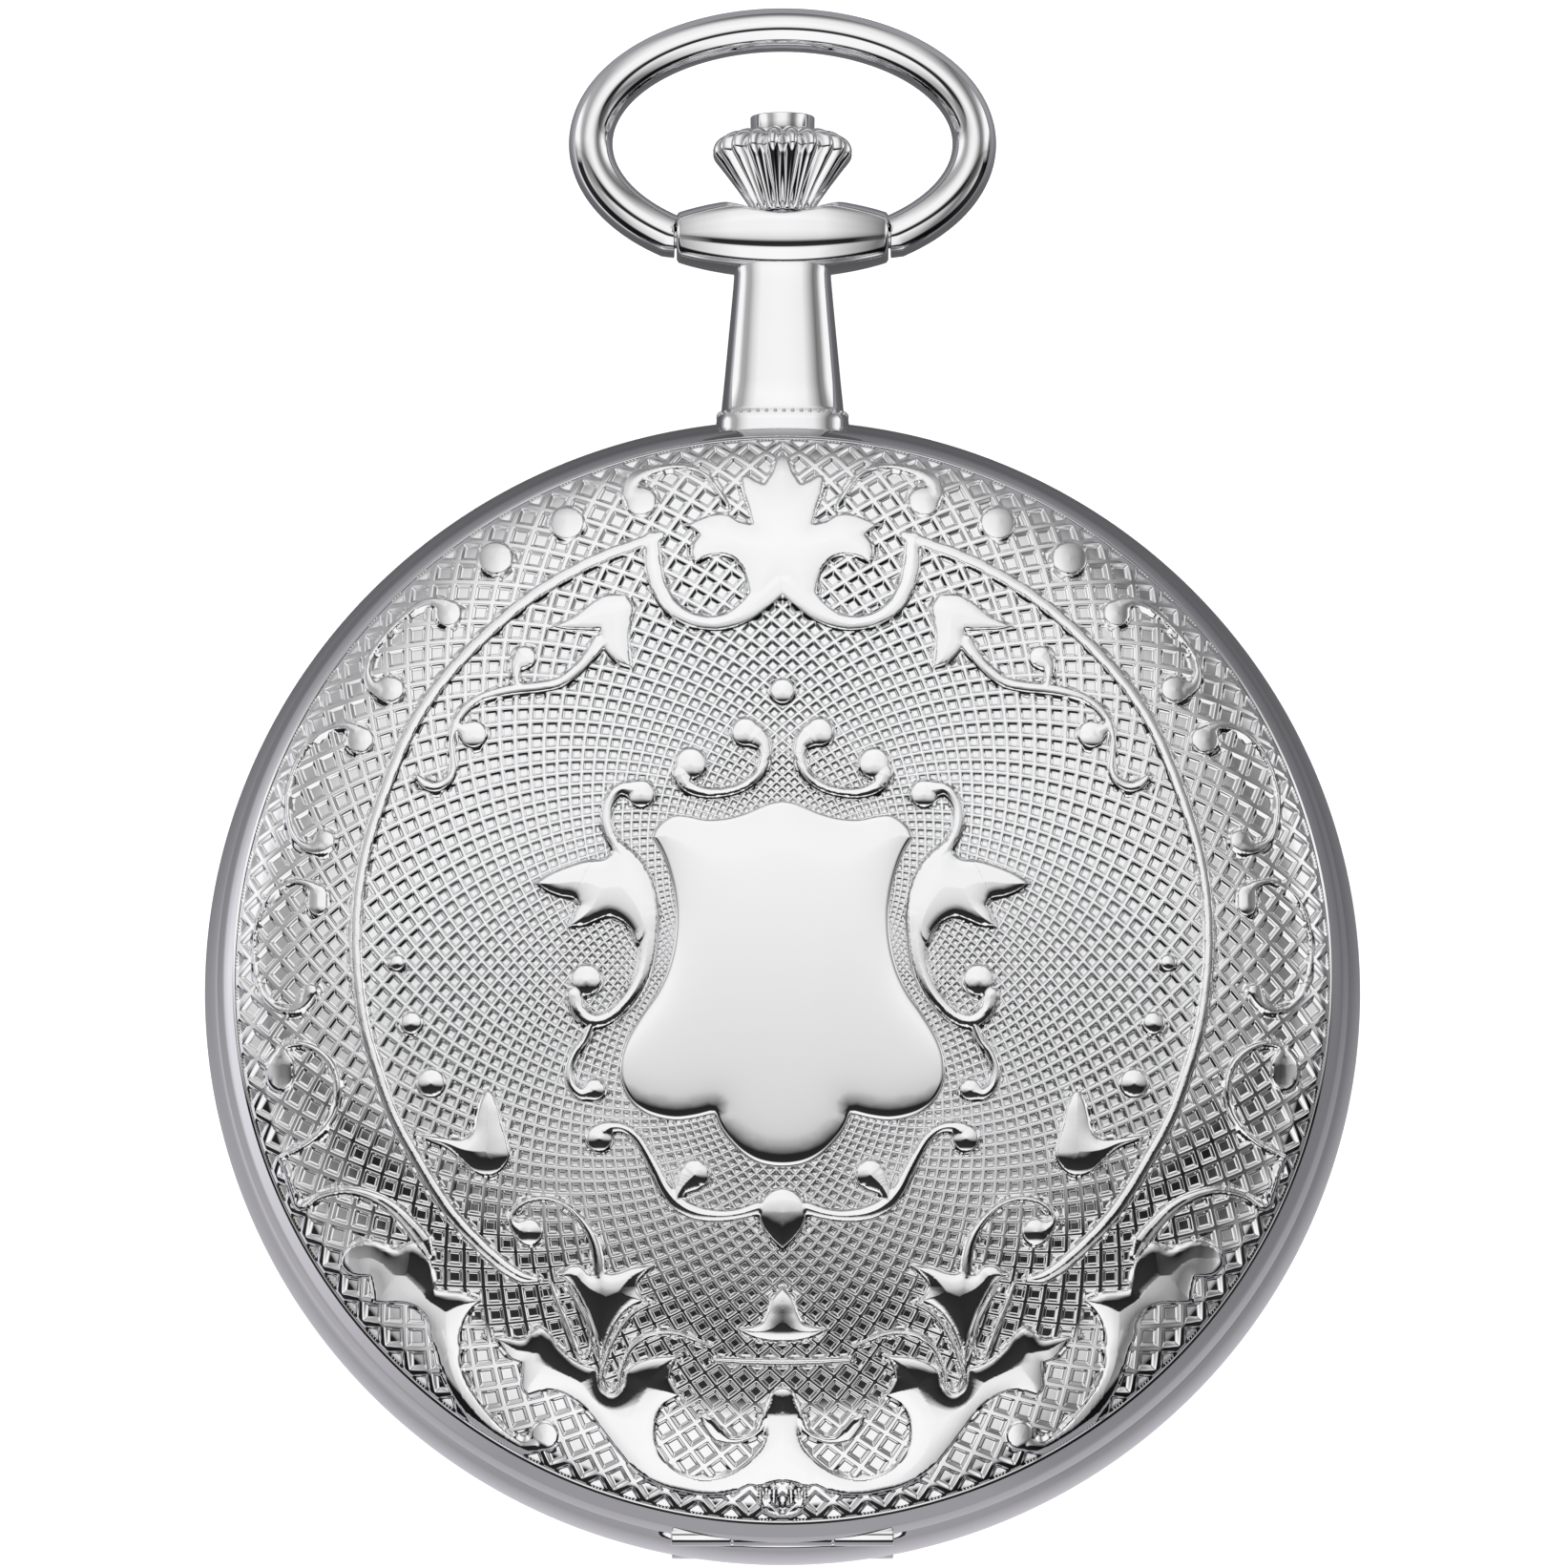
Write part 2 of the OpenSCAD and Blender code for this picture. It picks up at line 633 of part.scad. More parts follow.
module barrel() color(brass) difference() {
    union() {
        translate([barrel_at[0], barrel_at[1], barrel_z0]) linear_extrude(0.45)
            gear_outline(barrel_gear, angle_to(barrel_at, centre_at));
        disc(barrel_at, 7.2, barrel_z0, barrel_z1);
    }
    disc(barrel_at, 6.8, barrel_z0 + 0.15, barrel_z1 - 0.12);
    disc(barrel_at, 7.0, barrel_z1 - 0.12, 6);
    disc(barrel_at, 0.8, 3, 6);
}

module barrel_cover() color(brass) translate([barrel_at[0], barrel_at[1], 0])
    ring(7, 0.8, barrel_z1 - 0.12, barrel_z1);

// Wound strip, as a spiral of even pitch
module mainspring() color(steel) translate([barrel_at[0], barrel_at[1], barrel_z0 + 0.2])
    linear_extrude(0.62) {
    turns = 5;
    steps = turns * 24;
    line = [for (i = [0:steps]) let (a = 360 * turns * i / steps, r = 2.6 + 3.9 * i / steps) [r, a]];
    polygon(concat([for (p = line) p[0] * [cos(p[1]), sin(p[1])]],
                   [for (i = [steps:-1:0]) (line[i][0] + 0.22) * [cos(line[i][1]), sin(line[i][1])]]));
}

module barrel_arbor() color(steel) {
    disc(barrel_at, 2.2, barrel_z0 + 0.2, barrel_z1 - 0.2);
    disc(barrel_at, 0.75, ratchet_z1, plate_z1 - 0.2);
}

ratchet_z0 = 2.3;
ratchet_z1 = 2.65;

module ratchet_wheel() color(steel) translate([barrel_at[0], barrel_at[1], ratchet_z0])
    linear_extrude(ratchet_z1 - ratchet_z0)
    difference() {
        gear_outline(ratchet_gear, angle_to(barrel_at, crown_wheel_at));
        circle(r = 0.74);
    }

module ratchet_screw() color(blued) slotted_screw(barrel_at, 1.3, ratchet_z0 - 0.28, 0.27,
    ratchet_z0 + 0.1 - tiny);

// Spur gear on a tube that turns in the bridge, with a ring of upright teeth above the bridge
module crown_wheel() color(steel) translate([crown_wheel_at[0], crown_wheel_at[1], 0]) {
    difference() {
        union() {
            translate([0, 0, ratchet_z0]) linear_extrude(ratchet_z1 - ratchet_z0)
                gear_outline(crown_gear, angle_to(crown_wheel_at, barrel_at) + 180 / crown_gear[0]);
            disc([0, 0], 1.3, ratchet_z1 - tiny, bridge_z1 + 0.06);
            disc([0, 0], 3, bridge_z1 + 0.05, 3.8);
        }
        disc([0, 0], 0.85, 2, 3);
    }
    ring(3, 2.4, 3.8 - tiny, 4.06);
    for (i = [0:contrate_teeth - 1]) rotate(90 + 360 / contrate_teeth * (i + 0.5))
        translate([contrate_r - 0.3, -0.11, 4.05]) cube([0.6, 0.22, 0.3]);
}

module crown_wheel_screw() color(blued) slotted_screw(crown_wheel_at, 1.5, ratchet_z0 - 0.28, 0.27,
    ratchet_z0 + 0.1 - tiny);

module winding_pinion() color(steel) translate([0, 17, stem_z]) rotate([90, 0, 0]) linear_extrude(0.9)
    difference() {
    gear_outline(winding_gear, 90, 0.7);
    circle(r = 0.49);
}

module sliding_clutch() color(steel) difference() {
    on_stem_ring(13, 15.1, 0.95, 0.49);
    on_stem_ring(13.7, 14.2, 2, 0.72);
}

// Levers of the keyless work lie in a pocket on the dial side
lever_z = plate_z0 + 0.8;
setting_pivot = [5.6, 15.6];

module lever_plate(points, pivot) translate([0, 0, lever_z]) linear_extrude(0.35) difference() {
    union() {
        polygon(points);
        translate(pivot) circle(r = 0.75, $fn = 32);
    }
    translate(pivot) circle(r = 0.28, $fn = 32);
}

module setting_lever() color(steel) lever_plate([[1.5, 15.9], [1.5, 15.2], [4, 14.9], [5.6, 14.9],
    [5.6, 16.3], [3.6, 16.3]], setting_pivot);
module yoke() color(steel) lever_plate([[1.1, 14.4], [1.1, 14.1], [3, 12.9], [6.6, 12.7], [6.6, 13.8],
    [3.4, 13.7]], [6.4, 13.4]);

click_at = [-14.7, 8.4];

module click() color(steel) {
    translate([click_at[0], click_at[1], ratchet_z0]) linear_extrude(0.3) {
        circle(r = 0.75, $fn = 48);
        rotate(-78) polygon([[0, -0.6], [1.5, -0.35], [1.55, 0.1], [0, 0.6]]);
    }
    disc(click_at, 0.34, ratchet_z0 + 0.29, 3.4);
}

module click_spring() color(steel) translate([0, 0, ratchet_z0 + 0.05]) linear_extrude(0.25)
    polygon(concat(arc([0, 0], 17.1, 153, 178, 10), arc([0, 0], 16.85, 178, 153, 10)));

// ---------- going train ----------

centre_wheel_z = 4.7;
third_wheel_z = 3.75;
fourth_wheel_z = 4.25;

module centre_wheel() color(brass) {
    wheel(centre_gear, centre_at, centre_wheel_z, angle_to(centre_at, third_at), 5);
    pinion(centre_pinion, centre_at, 3.6, 4.15, angle_to(centre_at, barrel_at) + 180 / centre_pinion[0]);
    disc(centre_at, 0.55, 3.58, plate_z1 - 0.7);
    disc(centre_at, 0.12, 3.1, 4);
    disc(centre_at, 0.35, plate_z1 - 0.8, minute_z + 0.2);
}

module third_wheel() color(brass) {
    wheel(third_gear, third_at, third_wheel_z, angle_to(third_at, fourth_at), 5);
    pinion(third_pinion, third_at, 4.55, 4.95, angle_to(third_at, centre_at) + 180 / third_pinion[0]);
    arbor(third_at, 3.55, 4.95, 0.35);
}

module fourth_wheel() color(brass) {
    wheel(fourth_gear, fourth_at, fourth_wheel_z, angle_to(fourth_at, escape_at), 5);
    pinion(fourth_pinion, fourth_at, 3.6, 4.1, angle_to(fourth_at, third_at) + 180 / fourth_pinion[0]);
    arbor(fourth_at, 3.55, 4.9, 0.3);
    disc(fourth_at, 0.12, 4.8, dial_z0 + dial_t + 0.2);
}

// Club teeth that lean forward
module escape_wheel() color(steel) {
    translate([escape_at[0], escape_at[1], 4.6]) linear_extrude(0.16) difference() {
        polygon([for (i = [0:escape_teeth - 1])
            for (corner = [[1.85, -0.3], [escape_r, 0.12], [escape_r - 0.05, 0.26], [1.85, 0.08]])
                let (a = 360 / escape_teeth * (i + corner[1])) corner[0] * [cos(a), sin(a)]]);
        for (s = [0:3]) rotate(90 * s) polygon(concat(arc([0, 0], 0.8, 22, 68, 4),
            arc([0, 0], 1.5, 77, 13, 8)));
    }
    pinion(escape_pinion, escape_at, 4.1, 4.5, angle_to(escape_at, fourth_at) + 180 / escape_pinion[0]);
    arbor(escape_at, 3.55, 4.95, 0.28);
}

// Fork laid along the line from the escape wheel to the balance
fork_turn = angle_to(pallet_at, balance_at);

module pallet_fork() color(steel) {
    translate([pallet_at[0], pallet_at[1], 4.55]) rotate(fork_turn) linear_extrude(0.2) difference() {
        union() {
            polygon([[-0.5, -0.3], [3.2, -0.14], [3.6, -0.5], [4.15, -0.5], [4.15, 0.5], [3.6, 0.5],
                [3.2, 0.14], [-0.5, 0.3]]);
            circle(r = 0.5, $fn = 32);
            polygon([[-0.3, -0.3], [0.1, -0.3], [-0.5, -1.9], [-1.1, -1.9]]);
            polygon([[-0.3, 0.3], [0.1, 0.3], [-0.5, 1.9], [-1.1, 1.9]]);
        }
        translate([3.75, -0.16]) square([1, 0.32]);
    }
    arbor(pallet_at, 4.0, 4.95, 0.22, 0.1, 0.35);
}

module pallet_stones() color(ruby) translate([pallet_at[0], pallet_at[1], 4.56]) rotate(fork_turn) {
    for (side = [-1, 1]) translate([-1.45, side * 1.72 - 0.09, 0]) cube([0.33, 0.18, 0.18]);
}

balance_r = 4.3;
balance_z = 2.95;

module balance_wheel() color(brass) {
    translate([balance_at[0], balance_at[1], balance_z]) {
        difference() {
            cylinder(r = balance_r - 0.2, h = 0.4);
            translate([0, 0, -1]) cylinder(r = balance_r - 0.65, h = 3);
        }
        for (s = [0:2]) rotate(120 * s) translate([0.5, -0.22, 0.1]) cube([balance_r - 1, 0.44, 0.2]);
        difference() {
            cylinder(r = 0.8, h = 0.35);
            translate([0, 0, -1]) cylinder(r = 0.3, h = 3);
        }
        // timing screws round the rim
        for (i = [0:11]) rotate(30 * i + 15) translate([balance_r - 0.25, 0, 0.2]) rotate([0, 90, 0])
            cylinder(r = 0.16, h = 0.3, $fn = 24);
    }
}

module balance_staff() color(steel) {
    disc(balance_at, 0.3, cock_z1 + 0.08, 4.95);
    disc(balance_at, 0.11, cock_z0 + 0.2, 5.35);
    disc(balance_at, 0.7, 4.1, 4.3);
    translate([balance_at[0], balance_at[1], 4.29]) rotate(fork_turn + 180) translate([0.56, 0, 0])
        cylinder(r = 0.09, h = 0.4, $fn = 24);
}

module hairspring() color(blued) translate([balance_at[0], balance_at[1], cock_z1 + 0.05])
    linear_extrude(0.16) {
    turns = 7;
    steps = turns * 20;
    strip_w = 0.06;
    polygon(concat(
        [for (i = [0:steps]) (0.5 + 1.9 * i / steps) * [cos(360 * turns * i / steps),
            sin(360 * turns * i / steps)]],
        [for (i = [steps:-1:0]) (0.5 + strip_w + 1.9 * i / steps)
            * [cos(360 * turns * i / steps), sin(360 * turns * i / steps)]]));
}

module regulator() color(steel) translate([balance_at[0], balance_at[1], cock_z0 - 0.2])
    linear_extrude(0.18) difference() {
    union() {
        circle(r = 1.15);
        rotate(angle_to(balance_at, cock_post) + 28) polygon([[0.8, -0.25], [3.4, -0.08], [3.4, 0.08],
            [0.8, 0.25]]);
    }
    circle(r = 0.75);
}

// ---------- motion work ----------

module cannon_pinion() color(steel) difference() {
    union() {
        pinion(cannon_gear, centre_at, plate_z0 + 0.7, plate_z0 + 1.05, angle_to(centre_at, minute_at)
            + 180 / cannon_gear[0]);
        disc(centre_at, 0.6, plate_z0 + 0.7, minute_z - 0.02);
        disc(centre_at, 0.4, minute_z - 0.03, minute_z + 0.1);
    }
    disc(centre_at, 0.35, 5, 8);
}

module minute_wheel() color(brass) {
    difference() {
        union() {
            wheel(minute_gear, minute_at, plate_z0 + 0.75, angle_to(minute_at, centre_at), 4);
            pinion(minute_pinion, minute_at, plate_z0 + 0.9, plate_z1 - 0.02,
                angle_to(minute_at, centre_at) + 180 / minute_pinion[0]);
        }
        disc(minute_at, 0.3, 5, 8);
    }
}

module hour_wheel() color(brass) difference() {
    union() {
        wheel(hour_gear, centre_at, plate_z0 + 1.1, angle_to(centre_at, minute_at), 4);
        disc(centre_at, 0.85, plate_z0 + 1.1, hour_z + 0.12);
    }
    disc(centre_at, 0.64, 5, 8);
}

// ---------- nodes ----------

case_middle();
pendant();
pendant_sleeve();
bow();
crown();
crown_button();
winding_stem();
stem_ring();
front_cover();
front_hinge_pin();
catch_spring();
lift_spring();
front_bezel();
front_crystal();
dial_surround();
back_cover();
back_hinge_pin();
rear_bezel();
rear_crystal();
movement_ring();
case_screws();
dial();
hour_hand();
minute_hand();
seconds_hand();
main_plate();
barrel_bridge();
train_bridge();
balance_cock();
pallet_cock();
bridge_screws();
barrel();
barrel_cover();
mainspring();
barrel_arbor();
ratchet_wheel();
ratchet_screw();
crown_wheel();
crown_wheel_screw();
click();
click_spring();
centre_wheel();
third_wheel();
fourth_wheel();
escape_wheel();
pallet_fork();
pallet_stones();
balance_wheel();
balance_staff();
hairspring();
regulator();
cannon_pinion();
minute_wheel();
hour_wheel();
winding_pinion();
sliding_clutch();
setting_lever();
yoke();
jewels();
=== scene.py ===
import math

import bpy
import numpy as np
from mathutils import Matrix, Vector
from mathutils.geometry import delaunay_2d_cdt


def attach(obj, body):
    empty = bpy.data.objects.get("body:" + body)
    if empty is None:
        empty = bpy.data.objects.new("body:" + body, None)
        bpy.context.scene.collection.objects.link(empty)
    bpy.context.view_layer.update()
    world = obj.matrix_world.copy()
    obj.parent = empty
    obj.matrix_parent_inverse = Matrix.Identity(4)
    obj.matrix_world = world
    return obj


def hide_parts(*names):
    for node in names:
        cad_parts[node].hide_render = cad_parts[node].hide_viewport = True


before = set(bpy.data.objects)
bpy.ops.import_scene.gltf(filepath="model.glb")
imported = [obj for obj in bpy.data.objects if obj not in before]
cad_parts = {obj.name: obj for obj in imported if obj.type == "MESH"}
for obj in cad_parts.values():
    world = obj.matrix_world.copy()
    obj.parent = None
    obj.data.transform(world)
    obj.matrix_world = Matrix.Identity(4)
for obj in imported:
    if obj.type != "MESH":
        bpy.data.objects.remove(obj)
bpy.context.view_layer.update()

# All sizes below are in millimetres, in the CAD frame, until a mesh is made.
MM = 0.001

CASE_R = 23.5
STEM_Z = 5.2
BAND_HALF = 2.1
BAND_TOP = STEM_Z + BAND_HALF
BAND_BOTTOM = STEM_Z - BAND_HALF
SEAM = 0.05
LID_R = CASE_R - 0.55
FIELD_R = CASE_R - 1.34
FIELD_Z = STEM_Z + 3.6
DOME_R = FIELD_R + 0.24
BAR_Y = CASE_R + 7.65
BOW_A, BOW_B, BOW_Y = 7.85, 4.74, BAR_Y + 3.9
HINGE_Y = CASE_R - 0.95
WIRE_R = 0.9                    # the bow's wire
CUT_X = 4.45                    # where the bow's ends are cut
BAR_HALF = 4.33                 # half the length of the cross bar
PIN_R, PIN_HOLE = 0.45, 0.49    # the bow's pins, and their holes in the bar
CROWN_Y = BAR_Y + 0.95
SPIGOT_R, BORE_R, SPIGOT_H = 21.3, 20.3, 0.3
KNUCKLE_R, BORE_IN_BAND, BORE_IN_COVER = 0.45, 0.25, 0.28
COVER_KNUCKLE, BAND_KNUCKLE = 2, (2.07, 4.5)    # half length, and from where to where
COVER_LIP = 0.65                # how far the covers' inner walls lie inside their edges
DIAL_Z, SECONDS_AT = 6.75, (0, -7.4)
FRONT_HINGE_Z = BAND_TOP + SEAM / 2
BACK_HINGE_Z = BAND_BOTTOM - SEAM / 2


# ---------------------------------------------------------------- meshes

def add_mesh(name, verts, faces, body, mat, replaces=(), slot=None, sharp=40, smooth=True,
             normals=None):
    me = bpy.data.meshes.new(name)
    me.from_pydata(np.asarray(verts, float) * MM, [], faces)
    me.validate(clean_customdata=False)
    if smooth:
        me.polygons.foreach_set("use_smooth", np.ones(len(me.polygons), bool))
        if sharp:
            me.set_sharp_from_angle(angle=math.radians(sharp))
    if normals is not None:
        me.normals_split_custom_set_from_vertices(np.asarray(normals).tolist())
    me.materials.append(mat)
    me.update()
    ob = bpy.data.objects.new(name, me)
    bpy.context.scene.collection.objects.link(ob)
    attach(ob, body)
    for node in replaces:
        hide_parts(node)
    return ob


def grid_faces(rows, cols, wrap_cols=True, wrap_rows=False):
    """Quads between rows of points."""
    i = np.arange(rows if wrap_rows else rows - 1)
    j = np.arange(cols if wrap_cols else cols - 1)
    i, j = np.meshgrid(i, j, indexing="ij")
    a, b = i * cols + j, i * cols + (j + 1) % cols
    c, d = (i + 1) % rows * cols + (j + 1) % cols, (i + 1) % rows * cols + j
    return np.stack([a, b, c, d], -1).reshape(-1, 4).tolist()


def flipped(faces):
    return [f[::-1] for f in faces]


def catmull(points, closed=False, steps=6):
    """Smooth line through points. A point with a third value of 1 is a sharp corner."""
    pts = [tuple(p) + (0,) * (3 - len(p)) for p in points]
    p = np.array([q[:2] for q in pts], float)
    corner = [q[2] == 1 for q in pts]
    n = len(p)
    out = []
    last = n if closed else n - 1
    for i in range(last):
        j = (i + 1) % n
        chord = p[j] - p[i]

        def tangent(k, other):
            if corner[k] or (not closed and k in (0, n - 1)):
                return chord
            t = p[(k + 1) % n] - p[k - 1]
            size = np.linalg.norm(t)
            return t / size * np.linalg.norm(chord) if size else chord
        a, b = tangent(i, j), tangent(j, i)
        for s in range(steps):
            t = s / steps
            h = (2 * t ** 3 - 3 * t ** 2 + 1, t ** 3 - 2 * t ** 2 + t,
                 -2 * t ** 3 + 3 * t ** 2, t ** 3 - t ** 2)
            out.append(h[0] * p[i] + h[1] * a + h[2] * p[j] + h[3] * b)
    if not closed:
        out.append(p[-1])
    return np.array(out)


def rounded(profile, radius=0.08, steps=3):
    """Rounds the corners of an open or closed profile. A point may carry its own radius."""
    out = []
    n = len(profile)
    for k, q in enumerate(profile):
        p = np.array(q[:2], float)
        r = q[2] if len(q) > 2 else radius
        a, b = np.array(profile[k - 1][:2], float), np.array(profile[(k + 1) % n][:2], float)
        la, lb = np.linalg.norm(a - p), np.linalg.norm(b - p)
        if r == 0 or la == 0 or lb == 0 or k in (0, n - 1):
            out.append(p)
            continue
        cut = min(r, la * 0.45, lb * 0.45)
        s, e = p + (a - p) / la * cut, p + (b - p) / lb * cut
        for i in range(steps + 1):
            t = i / steps
            out.append((1 - t) ** 2 * s + 2 * t * (1 - t) * p + t * t * e)
    return np.array(out)


def lathe(name, profile, body, mat, axis="z", centre=(0, 0, 0), segs=256, **kw):
    """Turns a closed profile of (radius, height) about an axis through centre."""
    profile = np.asarray(profile, float)
    a = np.linspace(0, 2 * math.pi, segs, endpoint=False)
    r, h = profile[:, 0][:, None], profile[:, 1][:, None]
    x, y, z = r * np.cos(a), r * np.sin(a), h + 0 * a
    if axis == "y":
        x, y, z = x, -z, y
    elif axis == "x":
        x, y, z = z, x, y
    v = np.stack([x, y, z], -1).reshape(-1, 3) + np.array(centre)
    return add_mesh(name, v, grid_faces(len(profile), segs, True, True), body, mat, **kw)


# ---------------------------------------------------------------- materials

def material(name, color, metallic=0.0, rough=0.2, rough_var=0.0, tint=0.0, scale=400.0, bump=0.0,
             bump_scale=900.0, stretch=(1, 1, 1), **sockets):
    """A Principled material with cloudy roughness, a slight tint variation and fine surface grain."""
    m = bpy.data.materials.new(name)
    m.use_nodes = True
    nt = m.node_tree
    p = nt.nodes["Principled BSDF"]
    p.inputs["Metallic"].default_value = metallic
    for key, value in sockets.items():
        p.inputs[key.replace("_", " ")].default_value = value
    co = nt.nodes.new("ShaderNodeTexCoord")
    mp = nt.nodes.new("ShaderNodeMapping")
    mp.inputs["Scale"].default_value = stretch
    nt.links.new(co.outputs["Object"], mp.inputs["Vector"])
    n1 = nt.nodes.new("ShaderNodeTexNoise")
    n1.inputs["Scale"].default_value = scale
    n1.inputs["Detail"].default_value = 3.0
    nt.links.new(mp.outputs["Vector"], n1.inputs["Vector"])
    ramp = nt.nodes.new("ShaderNodeMapRange")
    ramp.inputs["To Min"].default_value = max(rough - rough_var, 0.0)
    ramp.inputs["To Max"].default_value = rough + rough_var
    nt.links.new(n1.outputs["Fac"], ramp.inputs["Value"])
    nt.links.new(ramp.outputs["Result"], p.inputs["Roughness"])
    mix = nt.nodes.new("ShaderNodeMix")
    mix.data_type = "RGBA"
    mix.inputs["A"].default_value = [c * (1 - tint) for c in color[:3]] + [1]
    mix.inputs["B"].default_value = [min(1, c * (1 + tint)) for c in color[:3]] + [1]
    nt.links.new(n1.outputs["Fac"], mix.inputs["Factor"])
    nt.links.new(mix.outputs["Result"], p.inputs["Base Color"])
    if bump:
        n2 = nt.nodes.new("ShaderNodeTexNoise")
        n2.inputs["Scale"].default_value = bump_scale
        n2.inputs["Detail"].default_value = 2.0
        nt.links.new(mp.outputs["Vector"], n2.inputs["Vector"])
        b = nt.nodes.new("ShaderNodeBump")
        b.inputs["Strength"].default_value = bump
        b.inputs["Distance"].default_value = 0.00002
        nt.links.new(n2.outputs["Fac"], b.inputs["Height"])
        nt.links.new(b.outputs["Normal"], p.inputs["Normal"])
    return m


CHROME = (0.90, 0.90, 0.91)
chrome = material("polished_chrome", CHROME, 1, 0.025, 0.01, 0.01, 300)
embossed = material("embossed_chrome", CHROME, 1, 0.03, 0.015, 0.02, 500)
inside = material("lid_inside", (0.88, 0.88, 0.88), 1, 0.12, 0.04, 0.02, 250)
steel = material("steel", (0.62, 0.63, 0.65), 1, 0.2, 0.06, 0.04, 600, 0.05)
nickel = material("nickel_plate", (0.78, 0.77, 0.74), 1, 0.28, 0.06, 0.05, 700, 0.15, 1500,
                  stretch=(1, 12, 1))
gilt = material("gilt_brass", (0.90, 0.68, 0.32), 1, 0.22, 0.06, 0.05, 600, 0.08)
blue = material("blued_steel", (0.03, 0.06, 0.30), 1, 0.15, 0.05, 0.15, 500)
spring_blue = material("blued_spring", (0.05, 0.09, 0.38), 1, 0.25, 0.05, 0.15, 500)
ruby = material("ruby", (0.60, 0.01, 0.08), 0, 0.08, 0.03, 0.2, 900, Coat_Weight=0.5)
enamel = material("white_enamel", (0.90, 0.89, 0.86), 0, 0.12, 0.03, 0.01, 300, Coat_Weight=0.6)
black_ink = material("dial_ink", (0.012, 0.012, 0.014), 0, 0.35, 0.08, 0.2, 800)
glass = material("crystal_glass", (1.0, 1.0, 1.0), 0, 0.01, 0.005, 0, 200, Alpha=0.12)


# ---------------------------------------------------------------- front cover

def dome_z(r):
    r = np.minimum(r, DOME_R - 0.02)
    f = lambda q: np.sqrt(1 - (q / DOME_R) ** 7)
    return FIELD_Z + 0.75 * (1 - (r / DOME_R) ** 2) + 2.2 * (f(r) - f(FIELD_R))


def dome_slope(r):
    return (dome_z(r + 0.01) - dome_z(r - 0.01)) / 0.02


def mirrored(half):
    """A shape that crosses the middle line, from the half of its outline on the +X side."""
    return list(half) + [(-p[0],) + tuple(p[1:]) for p in reversed(half) if p[0] > 1e-6]


